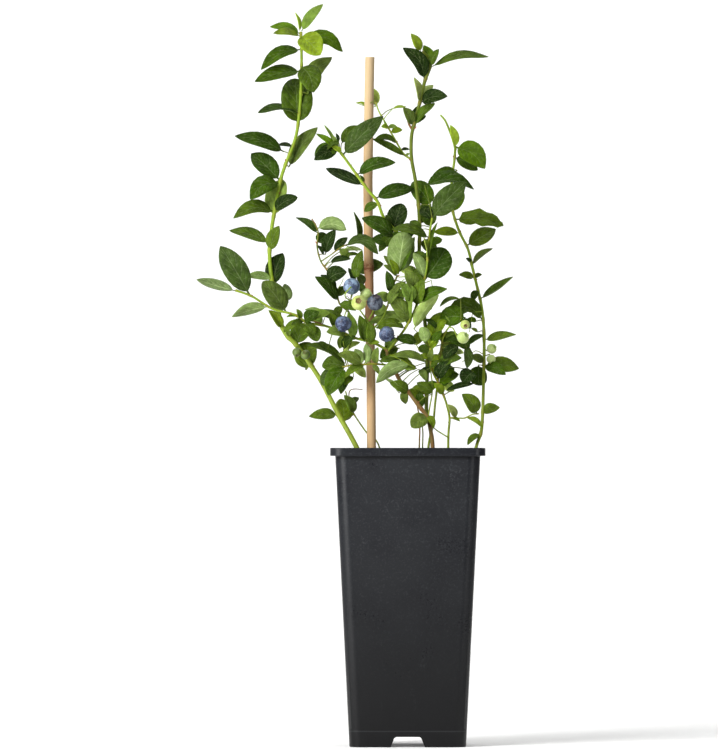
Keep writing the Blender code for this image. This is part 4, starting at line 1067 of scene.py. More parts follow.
def build_stem_materials(context, group):
    settings = context.scene.bush_stems
    for name, bark, streak, amount in (("green_stem", settings.green, (150, 170, 62), 0.55),
                                       ("olive_stem", settings.olive, (116, 126, 44), 0.6),
                                       ("brown_stem", settings.brown, (112, 112, 56), 0.75)):
        tree, shader = new_material(name, Specular_IOR_Level=0.25)
        high = axes(tree, object_place(tree))["Z"]
        old = span(tree, high, OLD_BARK[1], OLD_BARK[0], 0.0, 0.75 if name == "green_stem" else 0.0)
        aged = mix(tree, old, tuple(bark), tint(106, 116, 20))
        made = use_group(tree, group, {"Bark": aged, "Streak": tint(*streak),
                                       "Joint": tuple(settings.reddish), "Streaking": amount})
        dress(tree, shader, made, 0.0003, 0.4)
    tree, shader = new_material("bud_scale", Specular_IOR_Level=0.35)
    tone = painted(tree, "bud_colour")
    grain = speckle(tree, object_place(tree), 0.0009, 3.0)
    colour = veil(tree, tone, (92, 60, 36), grain, 0.3, 0.7, 0.6)
    connect(tree, shader, colour, span(tree, grain, 0.2, 0.8, 0.4, 0.62, False), grain, 0.0002, 0.5)


def berry_group():
    """Waxy bloom, rubbed in places, over a skin, with a dull crown."""
    group, given = new_group("berry_skin", ("Skin", "Bloom", "Crown"), ("Rubbed",))
    where = object_place(group)
    cloud = speckle(group, where, 0.0052, 3.0, 0.6)
    fine = speckle(group, where, 0.0012, 3.0, 0.6)
    worn = maths(group, "MULTIPLY_ADD", fine, 0.35, times(group, cloud, 0.75))
    rubbed = times(group, span(group, worn, 0.44, 0.64), given["Rubbed"])
    bloom = maths(group, "SUBTRACT", 1.0, rubbed)
    colour = mix(group, bloom, given["Skin"], given["Bloom"])
    crown = painted(group, "crown", "Fac")
    crown = times(group, crown, span(group, fine, 0.25, 0.6, 0.55, 1.0))
    colour = mix(group, crown, colour, given["Crown"])
    return end_group(group, colour, span(group, bloom, 0.0, 1.0, 0.34, 0.62, False),
                     maths(group, "MULTIPLY_ADD", cloud, 0.6, fine))


def build_berry_materials(context, group):
    settings = context.scene.bush_berries
    for name, skin, bloom, crown, rubbed in (
            ("ripe_berry", settings.ripe, settings.bloom, (58, 60, 84), 0.9),
            ("dusky_berry", tint(34, 40, 64), tint(102, 116, 144), (54, 56, 78), 1.0),
            # Pale skin: the own colour of the paler green berries, and on the rear green berry painted
            # light over its shade.
            ("pale_berry", tint(156, 178, 96), tint(194, 210, 142), (134, 160, 80), 0.7),
            ("dark_berry", tint(28, 31, 44), tint(92, 100, 112), (70, 60, 66), 0.95),
            ("green_berry", settings.unripe, tint(190, 200, 118), (84, 48, 26), 0.8),
            ("olive_berry", tint(80, 98, 40), tint(106, 124, 62), (84, 90, 44), 0.8)):
        tree, shader = new_material(name, Specular_IOR_Level=0.35, Subsurface_Weight=0.08,
                                    Subsurface_Scale=0.002)
        made = use_group(tree, group, {"Skin": tuple(skin), "Bloom": tuple(bloom),
                                       "Crown": tint(*crown), "Rubbed": rubbed})
        dress(tree, shader, made, 0.0003, 0.3)


def build_plastic(context):
    """Charcoal plastic with a fine grain, dull scuffs, a moulding seam and a raised line above the
    foot, with painted shade darker towards the ground, a painted shadow under the collar and a
    painted highlight along the raised line."""
    settings = context.scene.bush_pot
    tree, shader = new_material("pot_plastic", Specular_IOR_Level=0.18)
    where = object_place(tree)
    at = axes(tree, where)
    cloud = speckle(tree, where, 0.05, 4.0)
    grain = speckle(tree, where, 0.0019, 4.0, 0.7)
    colour = veil(tree, tuple(settings.plastic), (38, 40, 43), cloud, 0.3, 0.7, 0.7)
    colour = veil(tree, colour, (62, 64, 67), grain, 0.50, 0.74, 0.6)
    # Painted shade: the plastic is mixed toward near black down to the ground, darker the lower it is.
    painted_low_shade = span(tree, at["Z"], 0.0, 0.27, 0.95, 0.1)
    colour = mix(tree, painted_low_shade, colour, tint(15, 15, 16))
    scuff = span(tree, speckle(tree, lengthwise(tree, where, 0.2), 0.012), 0.60, 0.72)
    scuff = times(tree, scuff, span(tree, grain, 0.45, 0.65))
    colour = mix(tree, times(tree, scuff, 0.14), colour, tint(84, 86, 88))
    rough = maths(tree, "MULTIPLY_ADD", grain, 0.16, span(tree, cloud, 0.3, 0.7, 0.20, 0.28))
    # Painted shadow under the collar's overhang.
    under = maths(tree, "SUBTRACT", settings.height - settings.rim_band, at["Z"])
    shadow = times(tree, span(tree, under, -0.0001, 0.0004), span(tree, under, 0.0045, 0.0006))
    colour = mix(tree, times(tree, shadow, 0.75), colour, tint(8, 8, 10))
    line = span(tree, away(tree, at["Z"], settings.floor_height), 0.0009, 0.0002)
    seam = times(tree, span(tree, away(tree, at["X"], POT_AXIS.x), 0.0007, 0.0001),
                 span(tree, at["Z"], 0.03, 0.012))
    # Painted highlight: the raised line above the foot is also drawn lighter, as light catching its ridge.
    colour = mix(tree, times(tree, line, 0.22), colour, tint(70, 72, 74))
    height = maths(tree, "ADD", times(tree, grain, 0.9),
                   maths(tree, "ADD", times(tree, line, 0.9), times(tree, seam, 0.5)))
    connect(tree, shader, colour, rough, height, 0.0003, 0.3)


def build_soil_material(context):
    """Damp, crumbly peat with painted shade in the gaps between its crumbs, and the bark and grit
    that lie on it.
    """
    settings = context.scene.bush_soil
    tree, shader = new_material("potting_soil", Specular_IOR_Level=0.2)
    where = object_place(tree)
    crumb = node(tree, "TexVoronoi", {"Vector": where, "Scale": 260.0}).outputs
    fine = speckle(tree, where, 0.0022, 5.0, 0.7)
    damp = speckle(tree, where, 0.03, 2.0)
    tone = veil(tree, tuple(settings.peat), (88, 66, 46), fine, 0.3, 0.7, 1.0)
    # Painted shade: the soil is darker toward the edges of each crumb's cell, where the bump sinks into
    # the gaps.
    tone = veil(tree, tone, (28, 20, 15), crumb["Distance"], 0.2, 0.9, 0.55)
    tone = veil(tree, tone, (40, 29, 22), damp, 0.4, 0.65, 0.5)
    height = maths(tree, "SUBTRACT", fine, times(tree, crumb["Distance"], 0.9))
    connect(tree, shader, tone, span(tree, damp, 0.3, 0.7, 0.95, 0.78), height, 0.002, 0.9)
    tree, shader = new_material("soil_crumb", Specular_IOR_Level=0.25)
    tone = painted(tree, "crumb_colour")
    grain = speckle(tree, object_place(tree), 0.0016, 4.0, 0.65)
    colour = veil(tree, tone, (38, 28, 22), grain, 0.35, 0.7, 0.6)
    connect(tree, shader, colour, span(tree, grain, 0.2, 0.8, 0.7, 0.95), grain, 0.0006, 0.6)


CANE_NODE, CANE_RING = 0.4625, 0.4616  # heights of the node's middle and its dark ring
REDDENING, RED_ENDING = (0.372, 0.43), (0.476, 0.462)
BLEACHING = (0.52, 0.66)  # the heights over which the cane turns pale


def build_cane_material(context):
    """Dry cane: long fibres, a scarred node with a dark ring, a reddish stretch below it and a
    bleached top."""
    settings = context.scene.bush_stake
    tree, shader = new_material("bamboo", Specular_IOR_Level=0.15)
    where = object_place(tree)
    high = axes(tree, where)["Z"]
    fibre = speckle(tree, lengthwise(tree, where, 0.035), 0.0011, 4.0, 0.6)
    patch = speckle(tree, lengthwise(tree, where, 0.4), 0.016, 3.0)
    tone = veil(tree, tuple(settings.cane), (178, 146, 104), fibre, 0.32, 0.68, 1.0)
    tone = veil(tree, tone, (186, 140, 100), patch, 0.45, 0.72, 0.5)
    red = times(tree, span(tree, high, *REDDENING), span(tree, high, *RED_ENDING))
    red = times(tree, red, span(tree, patch, 0.25, 0.6, 0.55, 0.95))
    tone = mix(tree, red, tone, tint(158, 112, 82))
    tone = mix(tree, span(tree, high, *BLEACHING, 0.0, 0.6), tone, tint(206, 184, 146))
    scar = times(tree, span(tree, away(tree, high, CANE_NODE), 0.0065, 0.001),
                 span(tree, speckle(tree, where, 0.0028, 4.0, 0.7), 0.42, 0.60))
    ring = span(tree, away(tree, high, CANE_RING), 0.0011, 0.0003)
    scar = maths(tree, "MAXIMUM", scar, times(tree, ring, 0.8))
    tone = mix(tree, scar, tone, tuple(settings.scar))
    height = maths(tree, "SUBTRACT", fibre, times(tree, scar, 0.7))
    connect(tree, shader, tone, span(tree, fibre, 0.2, 0.8, 0.55, 0.75), height, 0.0004, 0.45)


def build_floor_material(context):
    """White paper that glows a little, and that can be looked through from behind."""
    settings = context.scene.bush_stage
    tree, shader = new_material("studio_paper", Specular_IOR_Level=0.1, Emission_Strength=0.12)
    cloud = speckle(tree, object_place(tree), 0.4, 2.0)
    colour = veil(tree, tuple(settings.floor), (238, 239, 240), cloud, 0.3, 0.7, 0.3)
    connect(tree, shader, colour, span(tree, cloud, 0.3, 0.7, 0.85, 0.95))
    behind = node(tree, "NewGeometry").outputs["Backfacing"]
    clear = node(tree, "BsdfTransparent").outputs[0]
    mixed = node(tree, "MixShader", {0: behind, 1: shader.outputs[0], 2: clear}).outputs[0]
    tree.links.new(mixed, tree.nodes["Material Output"].inputs["Surface"])


class BUSH_OT_materials(bpy.types.Operator):
    """Build the procedural materials and the effects they share"""
    bl_idname = "bush.materials"
    bl_label = "Materials"

    def execute(self, context):
        build_leaf_materials(context, leaf_group())
        build_stem_materials(context, bark_group())
        build_berry_materials(context, berry_group())
        build_plastic(context)
        build_soil_material(context)
        build_cane_material(context)
        build_floor_material(context)
        return {"FINISHED"}


def model_guide():
    """The curve that a leaf is bent along: three points, with the leaf's base at the first."""
    bpy.ops.curve.primitive_bezier_curve_add(radius=1.0, location=(0.0, 0.0, 0.0))
    guide = newest("leaf_guide")
    bpy.ops.object.mode_set(mode="EDIT")
    bpy.ops.curve.select_all(action="SELECT")
    bpy.ops.curve.subdivide(number_cuts=1)
    done()
    guide.data.twist_mode = "Z_UP"
    guide.data.use_path = True
    for point in guide.data.splines[0].bezier_points:
        point.handle_left_type = point.handle_right_type = "AUTO"
    return guide


def paint(mesh, name, value):
    """Give a mesh one colour in a named attribute."""
    layer = mesh.color_attributes.new(name=name, type="FLOAT_COLOR", domain="CORNER")
    layer.data.foreach_set("color", np.tile(np.array((*value, 1.0), np.float32), len(layer.data)))


def leaf_axes(spec, x):
    """How a blade stands that runs along x: its sideways and upward directions, and `rise`, the
    direction in which its arch lifts it as seen from the front."""
    rise = x.cross(Vector((0, -1, 0))).normalized()
    rise = rise if rise.z >= 0 else -rise
    back = rise.cross(x).normalized()
    back = back if back.y > 0 else -back
    roll = math.radians(spec.roll)
    across = rise * math.cos(roll) + back * math.sin(roll) * spec.side
    z = x.cross(across).normalized()
    z = z if z.y * spec.side < 0 else -z
    return z.cross(x), z, rise


def hang_leaf(spec, stem, masters, guide, chance, settings):
    """Copy the blade of this leaf's form, bend it along its midrib and set it on its stem."""
    _, start, tip, _ = foot_of(spec, stem)
    chord = tip - start
    length = chord.length
    x = chord.normalized()
    y, z, rise = leaf_axes(spec, x)
    crown = z * length * chance.uniform(*CROWN)
    bow = crown + rise * (spec.arch - CROWN_TAKEN_BACK * crown.dot(rise))
    bow = Vector((0.0, bow.dot(y), bow.dot(z)))
    along_bow = length * (1 + 8 / 3 * (bow.length / length) ** 2)
    points = guide.data.splines[0].bezier_points
    twist = chance.uniform(-TWIST, TWIST)
    droop = chance.uniform(0.0, DROOP) * length
    for point, at, share in zip(points, ((0, 0, 0), (length * 0.5, bow.y, bow.z),
                                         (length, 0, -droop)), TWIST_SHARES):
        point.co = Vector(at) * MM
        point.tilt = math.radians(share * twist)
    for point in points:
        point.handle_left_type = point.handle_right_type = "AUTO"
    blade = copy_of(masters[spec.form], "leaf")
    blade.modifiers["hang"].object = guide
    half = spec.width * MM / 2
    blade.scale = (along_bow * MM, half, half * settings.fold * chance.uniform(*FOLDS) * 2)
    only(blade)
    bpy.ops.object.modifier_apply(modifier="hang")
    turn(blade, Matrix((x, y, z)).transposed().to_quaternion())
    blade.location = place(*start)
    bright = settings.brightness * chance.uniform(1 - UNEVEN, 1 + UNEVEN)
    warm = chance.uniform(-WARMTH, WARMTH)
    red, green, blue = shade(TONES[spec.tone])
    paint(blade.data, "leaf_colour", (red * bright * (1 + warm), green * bright,
                                      blue * bright * (1 - warm)))
    return blade


def finish_leaves(name, blades, settings, stem, nodes=()):
    """Join blades, give them their thickness and pale undersides, and set them in the model."""
    piece = join(name, blades)
    settle(piece)
    thick = piece.modifiers.new("thickness", "SOLIDIFY")
    thick.thickness = settings.thickness
    thick.offset = -1.0
    thick.material_offset = 1
    apply_all(piece)
    bpy.ops.object.shade_smooth()
    finish_piece(piece, nodes, stem)
    return piece


class BUSH_OT_leaves(bpy.types.Operator):
    """Model one blade of each form and hang its copies on every stem"""
    bl_idname = "bush.leaves"
    bl_label = "Leaves"

    def execute(self, context):
        settings = context.scene.bush_leaves
        chance = random.Random(LEAF_SEED)
        masters = {form: model_blade(form, settings.stalk) for form in PROFILES}
        guide = model_guide()
        for stem, specs in LEAVES.items():
            plain = []
            for spec in specs:
                blade = hang_leaf(spec, stem, masters, guide, chance, settings)
                if spec.node:
                    finish_leaves(spec.node + "_blade", [blade], settings, stem, [spec.node])
                else:
                    plain.append(blade)
            finish_leaves(stem + "_foliage", plain, settings, stem)
        discard(guide, *masters.values())
        return {"FINISHED"}


# ---------------------------------------------------------------- stems
OLIVE_STEMS = ("tall_stem", "upper_left_twig", "upper_side_twig")
SHOOT_BARKS = {"red": "brown_stem", "green": "green_stem"}
SHOOT_STEP = 3.0  # mm between the rings of shoots and leaf twigs
SHOOT_TIP = 0.75  # a shoot's radius at its tip, as a share
TWIG_RADII = (0.55, 0.40)  # of a leaf's thin twig, at its foot and tip, in mm
TWIG_RISE = 0.08  # how far it bows upward, as a share of its length
BUD_TONES = ((140, 158, 62), (150, 84, 50))
JOINT_MARK, JOINT_SWELL = 2.2, 1.8  # how far a joint's colour and swelling reach, in mm
NO_JOINT = Vector((0, 0, 9))  # a place that no stem comes near
UNEVEN_BARK, UNEVEN_SIZE = 0.05, 6.0  # the wander of a stem's radius, and its size in mm


def tapered(path, foot, tip):
    """Radii that go evenly from foot to tip."""
    last = len(path) - 1
    return [foot + (tip - foot) * i / last for i in range(last + 1)]


def model_line(name):
    """A straight line of points, to be bent into a stem."""
    bpy.ops.curve.primitive_nurbs_path_add(radius=1.0, location=(0.0, 0.0, 0.0))
    line = newest(name)
    bpy.ops.object.mode_set(mode="EDIT")
    bpy.ops.curve.spline_type_set(type="POLY")
    done()
    line.data.splines.clear()
    line.data.bevel_depth = MM
    line.data.use_fill_caps = True
    line.data.twist_mode = "MINIMUM"
    return line


def run_spline(line, path, radii):
    spline = line.data.splines.new("POLY")
    spline.points.add(len(path) - 1)
    for point, at, radius in zip(spline.points, path, radii):
        point.co = (*place(*at), 1.0)
        point.radius = radius


def tube(name, runs, sides):
    """One mesh from several runs of (path, radii)."""
    line = model_line(name)
    line.data.bevel_resolution = sides
    for path, radii in runs:
        run_spline(line, path, radii)
    only(line)
    bpy.ops.object.convert(target="MESH")
    piece = newest(name)
    tidy(piece)
    return piece


def model_bud():
    """A pointed bud of unit length standing on the origin."""
    bpy.ops.mesh.primitive_uv_sphere_add(segments=8, ring_count=6, radius=0.5, location=(0, 0, 0.35))
    bud = newest("bud")
    shape(bud)
    pick(lambda v: v.co.z > 0.55)
    scale(0.62, 0.62, 1.0, (0, 0, 0.6))
    move(z=0.16)
    pick(lambda v: v.co.z > 0.95)
    move(z=0.12)
    pick(lambda v: v.co.z < 0.05)
    scale(0.8, 0.8, 1.0)
    done()
    bpy.ops.object.shade_smooth()
    coat(bud, "bud_scale")
    return bud


def buds_of(stem, bud):
    made = []
    for on, (x, z), aside, size, red in BUDS:
        if on != stem:
            continue
        centre, along, radius = nearest(stem, x, z)
        side = Vector((aside, -0.5, 0.2))
        side = (side - along * side.dot(along)).normalized()
        one = copy_of(bud, "bud")
        up = (along * 0.75 + side * 0.6).normalized()
        turn(one, up.to_track_quat("Z", "Y"))
        one.location = place(*(centre + side * radius * 0.7))
        one.scale = Vector((0.75, 0.75, 1.35)) * size * MM
        paint(one.data, "bud_colour", shade(BUD_TONES[red]))
        made.append(one)
    return made


def mark_joints(piece, stem):
    """A mask along the stem, strongest at its leaf joints."""
    joints = np.array([place(*c) for c in JOINTS.get(stem, [])] or [NO_JOINT], np.float32)
    co = np.zeros(len(piece.data.vertices) * 3, np.float32)
    piece.data.vertices.foreach_get("co", co)
    gap = np.linalg.norm(co.reshape(-1, 1, 3) - joints[None], axis=2).min(axis=1) / MM
    layer = piece.data.attributes.new("joint", "FLOAT", "POINT")
    layer.data.foreach_set("value", np.exp(-(gap / JOINT_MARK) ** 2).astype(np.float32))


def swell(path, radii, stem, swelling):
    """Thicken the radii at the leaf joints and let them wander a little between."""
    out = []
    for at, radius in zip(path, radii):
        gap = min([(at - c).length for c in JOINTS.get(stem, [])] or [99.0])
        uneven = UNEVEN_BARK * noise.noise(at / UNEVEN_SIZE)
        out.append(radius * (1 + swelling * math.exp(-(gap / JOINT_SWELL) ** 2) + uneven))
    return out


class BUSH_OT_stems(bpy.types.Operator):
    """Model the canes, stems and twigs with their leaf joints and buds"""
    bl_idname = "bush.stems"
    bl_label = "Stems"

    def execute(self, context):
        settings = context.scene.bush_stems
        bud = model_bud()
        for name, bark, *_ in STEMS:
            path, radii = LINES[name]
            skin = "olive_stem" if name in OLIVE_STEMS else bark
            thin = []
            for centre, start, base in TWIGS.get(name, []):
                rise = TWIG_RISE * (start - centre).length
                middle = centre.lerp(start, 0.5) + Vector((0, 0, rise))
                twig = smooth_path([centre, middle, start, base], SHOOT_STEP)
                thin.append((twig, tapered(twig, *TWIG_RADII)))
            own = [(path, swell(path, radii, name, settings.swelling))]
            parts = []
            for runs, cover in ((own, skin), (thin, "olive_stem")):
                if runs:
                    part = tube(name + "_part", runs, settings.sides)
                    coat(part, cover)
                    mark_joints(part, name)
                    parts.append(part)
            for on, radius, colour, points in SHOOTS:
                if on == name:
                    line = smooth_path(points, SHOOT_STEP)
                    shoot = tube("shoot", [(line, tapered(line, radius, radius * SHOOT_TIP))],
                                 settings.sides)
                    coat(shoot, SHOOT_BARKS.get(colour, skin))
                    parts.append(shoot)
            parts += buds_of(name, bud)
            finish_piece(join(name + "_bark", parts), [name], name)
        discard(bud)
        return {"FINISHED"}


# ---------------------------------------------------------------- berries
STALK_RADII = (0.95, 0.6, 0.75)  # at the fruit, between, and at the stem, in mm
STALK_STEP = 1.5
STALK_INSIDE = 0.8  # how far inside the fruit it ends, as a share
LOBES, LOBE_TEST = 5, 0.2
CROWN_INSIDE, CROWN_RADIUS = 0.35, 0.37  # shares of the berry's radius


def on_crown(v):
    return v.co.z > 1.0 and math.hypot(v.co.x, v.co.y) > CROWN_INSIDE


def lobe(v):
    """1 in the middle of a lobe of the crown, -1 between two."""
    return math.cos(LOBES * math.atan2(v.co.y, v.co.x))


def model_berry():
    """A berry of unit radius with the five-lobed crown on top."""
    bpy.ops.mesh.primitive_uv_sphere_add(segments=20, ring_count=14, radius=1.0, location=(0, 0, 0))
    berry = newest("berry")
    edit(berry)
    pick(lambda f: f.calc_center_median().z > 0.88, "faces")
    bpy.ops.mesh.inset(thickness=0.03, depth=0.0)
    extrude(z=0.10)
    scale(1.12, 1.12, 1.0, (0, 0, 1.0))
    bpy.ops.mesh.inset(thickness=0.05, depth=0.0)
    extrude(z=-0.17)
    scale(0.86, 0.86, 0.25, (0, 0, 0.86))
    pick(lambda v: on_crown(v) and lobe(v) > LOBE_TEST)
    scale(1.22, 1.22, 1.0, (0, 0, 1.0))
    move(z=0.07)
    pick(lambda v: on_crown(v) and lobe(v) < -LOBE_TEST)
    move(z=-0.05)
    pick(lambda v: v.co.z < -0.93)
    move(z=0.05)
    pick(lambda v: True)
    scale(1.0, 1.0, 0.92)
    done()
    bpy.ops.object.shade_smooth()
    return berry


def crown_mask(piece):
    """A mask on the crown and its cup, before the berry is turned and scaled."""
    layer = piece.data.attributes.new("crown", "FLOAT", "POINT")
    values = [1.0 if math.hypot(v.co.x, v.co.y) < CROWN_RADIUS and v.co.z > 0.5 else
              0.35 * (v.co.z > 0.93) for v in piece.data.vertices]
    layer.data.foreach_set("value", values)


class BUSH_OT_berries(bpy.types.Operator):
    """Model one berry with its crown and hang its copies on their stalks"""
    bl_idname = "bush.berries"
    bl_label = "Berries"

    def execute(self, context):
        settings = context.scene.bush_berries
        berry = model_berry()
        crown_mask(berry)
        for name, skin, centre, radius, stem, stalk, hold in BERRIES:
            middle = Vector(centre)
            pole = (middle - Vector(stalk[0])).normalized()
            grip, along, girth = nearest(stem, hold[0], hold[2])
            out = Vector(stalk[-1]) - grip
            out = (out - along * out.dot(along)).normalized()
            end = grip + out * girth * 0.5
            run = smooth_path([middle - pole * radius * STALK_INSIDE] + stalk + [end], STALK_STEP)
            at_fruit, between, at_stem = STALK_RADII
            radii = [at_fruit] + [between] * (len(run) - 2) + [at_stem]
            stalk_piece = tube("stalk", [(run, radii)], 1)
            coat(stalk_piece, "green_stem")
            one = copy_of(berry, name + "_fruit")
            coat(one, skin + "_berry")
            turn(one, pole.to_track_quat("Z", "Y"))
            one.location = place(*middle)
            size = radius * settings.plumpness * MM
            one.scale = (size, size, size)
            piece = join(name + "_fruit", [one, stalk_piece])
            finish_piece(piece, [name], stem)
        discard(berry)
        return {"FINISHED"}


# ---------------------------------------------------------------- pot, soil and stake
FLOOR_THICKNESS = 0.0024
SOIL_GAP = 0.0003  # between the soil and the pot's inside
NOTCH = (0.025, 0.2, 0.014)  # width at the top, length, height
NOTCH_MIDDLE, NOTCH_FLARE = 0.003, 1.45  # its middle's height, and how much wider it is below
FOOT_PAD = 0.024  # what the corners keep of the hollow under the floor
DRAIN_RADIUS, DRAIN_PITCH = 0.006, 0.03
DRAINS = ((0, 0), (-1, -1), (-1, 1), (1, -1), (1, 1))
SHARP = 1.0  # edges that turn by more radians are bevelled
NEAR = 1e-4
SOIL_CLEAR = 0.02  # how far the trimming block stands above the soil
CRUMB_SEED = 11
GRIT_SHARE = 0.12
GRIT_TONE, BARK_TONE = (206, 200, 188), (96, 66, 42)
RIM_CLEAR = 0.0075  # crumbs keep this far from the soil's edge


def model_block(name, foot, top, z0, z1, corner, segments):
    """A square block on the pot's axis, tapered, with its upright edges rounded."""
    bpy.ops.mesh.primitive_cube_add(size=1.0, location=(POT_AXIS.x, 0, (z0 + z1) / 2),
                                    scale=(top, top, z1 - z0))
    block = newest(name)
    shape(block)
    pick(lambda v: v.co.z < (z0 + z1) / 2)
    scale(foot / top, foot / top, 1.0, (POT_AXIS.x, 0, z0))
    pick(lambda e: abs(e.verts[0].co.z - e.verts[1].co.z) > NEAR, "edges")
    bevel(corner, segments)
    done()
    return block


def sharp(edge):
    return len(edge.link_faces) == 2 and edge.calc_face_angle() > SHARP


def body_width(settings, z, inset=0.0):
    """Outer width of the pot's body at a height, less an inset on both sides."""
    top = settings.height - settings.rim_band
    return settings.foot_width + (settings.top_width - settings.foot_width) * z / top - 2 * inset


def model_notch(name, along_y):
    """The flared channel that crosses the pot's foot."""
    size = NOTCH if along_y else (NOTCH[1], NOTCH[0], NOTCH[2])
    bpy.ops.mesh.primitive_cube_add(size=1.0, location=(POT_AXIS.x, 0, NOTCH_MIDDLE), scale=size)
    notch = newest(name)
    shape(notch)
    pick(lambda v: v.co.z < 0)
    wide = (NOTCH_FLARE, 1.0, 1.0) if along_y else (1.0, NOTCH_FLARE, 1.0)
    scale(*wide, about=(POT_AXIS.x, 0, 0))
    length = 1 if along_y else 0
    pick(lambda e: min(v.co.z for v in e.verts) > 0 and
         abs((e.verts[0].co - e.verts[1].co)[length]) > 0.1, "edges")
    bevel(0.0018, 3)
    done()
    return notch


class BUSH_OT_pot(bpy.types.Operator):
    """Model the square nursery pot with its collar, hollow inside, raised floor and feet"""
    bl_idname = "bush.pot"
    bl_label = "Nursery pot"

    def execute(self, context):
        s = context.scene.bush_pot
        top = s.height - s.rim_band
        axis = (POT_AXIS.x, 0, top)
        pot = model_block("pot_body", s.foot_width, s.top_width, 0.0, top, s.corner, 8)
        edit(pot)
        pick(lambda f: f.normal.z > 0.9 and len(f.verts) > 4, "faces")
        extrude()
        scale(s.rim_width / s.top_width, s.rim_width / s.top_width, 1.0, axis)
        extrude(z=s.rim_band)
        bpy.ops.mesh.inset(thickness=s.wall)
        extrude(z=s.wall - s.rim_band)
        bpy.ops.mesh.inset(thickness=(s.rim_width - s.top_width) / 2)
        inner_floor = s.floor_height + FLOOR_THICKNESS
        extrude(z=inner_floor - (top + s.wall))
        factor = body_width(s, inner_floor, s.wall) / body_width(s, top, s.wall)
        scale(factor, factor, 1.0, axis)
        pick(lambda e: sharp(e) and min(v.co.z for v in e.verts) > top - NEAR, "edges")
        bevel(0.0007, 2)
        pick(lambda e: sharp(e) and max(v.co.z for v in e.verts) < NEAR, "edges")
        bevel(0.0012, 2)
        done()
        cut(pot, model_block("under_floor", body_width(s, 0.0, s.wall),
                             body_width(s, s.floor_height, s.wall), -0.004, s.floor_height,
                             FOOT_PAD, 1))
        cut(pot, model_notch("front_notch", True))
        cut(pot, model_notch("side_notch", False))
        for x, y in DRAINS:
            bpy.ops.mesh.primitive_cylinder_add(
                vertices=24, radius=DRAIN_RADIUS, depth=2 * DRAIN_RADIUS,
                location=(POT_AXIS.x + DRAIN_PITCH * x, DRAIN_PITCH * y, s.floor_height))
            cut(pot, newest("drain"))
        tidy(pot, angle=20)
        coat(pot, "pot_plastic")
        finish_piece(pot, ["nursery_pot"])
        return {"FINISHED"}


class BUSH_OT_soil(bpy.types.Operator):
    """Model the soil with its lumpy top, and scatter crumbs of bark and grit on it"""
    bl_idname = "bush.soil"
    bl_label = "Potting soil"

    def execute(self, context):
        s, pot = context.scene.bush_soil, context.scene.bush_pot
        foot = pot.floor_height + FLOOR_THICKNESS + SOIL_GAP
        wide = body_width(pot, s.level, pot.wall)
        bpy.ops.mesh.primitive_grid_add(x_subdivisions=40, y_subdivisions=40, size=1.0,
                                        location=(POT_AXIS.x, 0, s.level), scale=(wide, wide, 1.0))
        soil = newest("soil_fill")
        settle(soil)
        lumps = bpy.data.textures.new("soil_lumps", "CLOUDS")
        lumps.noise_scale = 0.018
        lumps.noise_depth = 2
        raise_up = soil.modifiers.new("lumps", "DISPLACE")
        raise_up.texture = lumps
        raise_up.direction = "Z"
        raise_up.strength = s.lump
        apply_all(soil)
        edit(soil)
        pick(lambda f: True, "faces")
        extrude(z=foot - s.level)
        scale(1.0, 1.0, 0.0, (POT_AXIS.x, 0, foot))
        bpy.ops.mesh.select_all(action="SELECT")
        bpy.ops.mesh.normals_make_consistent(inside=False)
        done()
        gap = pot.wall + SOIL_GAP
        top = s.level + SOIL_CLEAR
        fit = model_block("soil_fit", body_width(pot, foot, gap), body_width(pot, top, gap),
                          foot + NEAR, top, pot.corner - pot.wall, 6)
        cut(soil, fit, "INTERSECT")
        tidy(soil, angle=50)
        coat(soil, "potting_soil")
        finish_piece(soil, ["potting_soil"])
        self.scatter(s, wide)
        return {"FINISHED"}

    def scatter(self, s, wide):
        """Model one crumb and drop copies of it over the soil."""
        bpy.ops.mesh.primitive_ico_sphere_add(subdivisions=1, radius=1.0, location=(0, 0, 0))
        crumb = newest("crumb")
        edit(crumb)
        pick(lambda v: v.co.x > 0.3)
        scale(1.25, 0.8, 0.8)
        pick(lambda v: v.co.z > 0.3)
        scale(1.0, 1.1, 0.7)
        done()
        coat(crumb, "soil_crumb")
        chance = random.Random(CRUMB_SEED)
        reach = wide / 2 - RIM_CLEAR
        made = []
        for _ in range(s.crumbs):
            one = copy_of(crumb, "crumb")
            grit = chance.random() < GRIT_SHARE
            size = (chance.uniform(0.7, 1.5) if grit else chance.uniform(0.9, 3.4)) * MM
            one.scale = (size * chance.uniform(0.9, 1.8), size, size * chance.uniform(0.35, 0.8))
            one.rotation_euler = [chance.uniform(-0.5, 0.5), chance.uniform(-0.5, 0.5),
                                  chance.uniform(0, 6.3)]
            one.location = (POT_AXIS.x + chance.uniform(-reach, reach), chance.uniform(-reach, reach),
                            s.level + chance.uniform(-0.0008, 0.0012))
            brown = chance.uniform(0.7, 1.25)
            paint(one.data, "crumb_colour", shade(GRIT_TONE) if grit else
                  [c * brown for c in shade(BARK_TONE)])
            made.append(one)
        discard(crumb)
        if made:
            finish_piece(join("soil_crumbs", made))


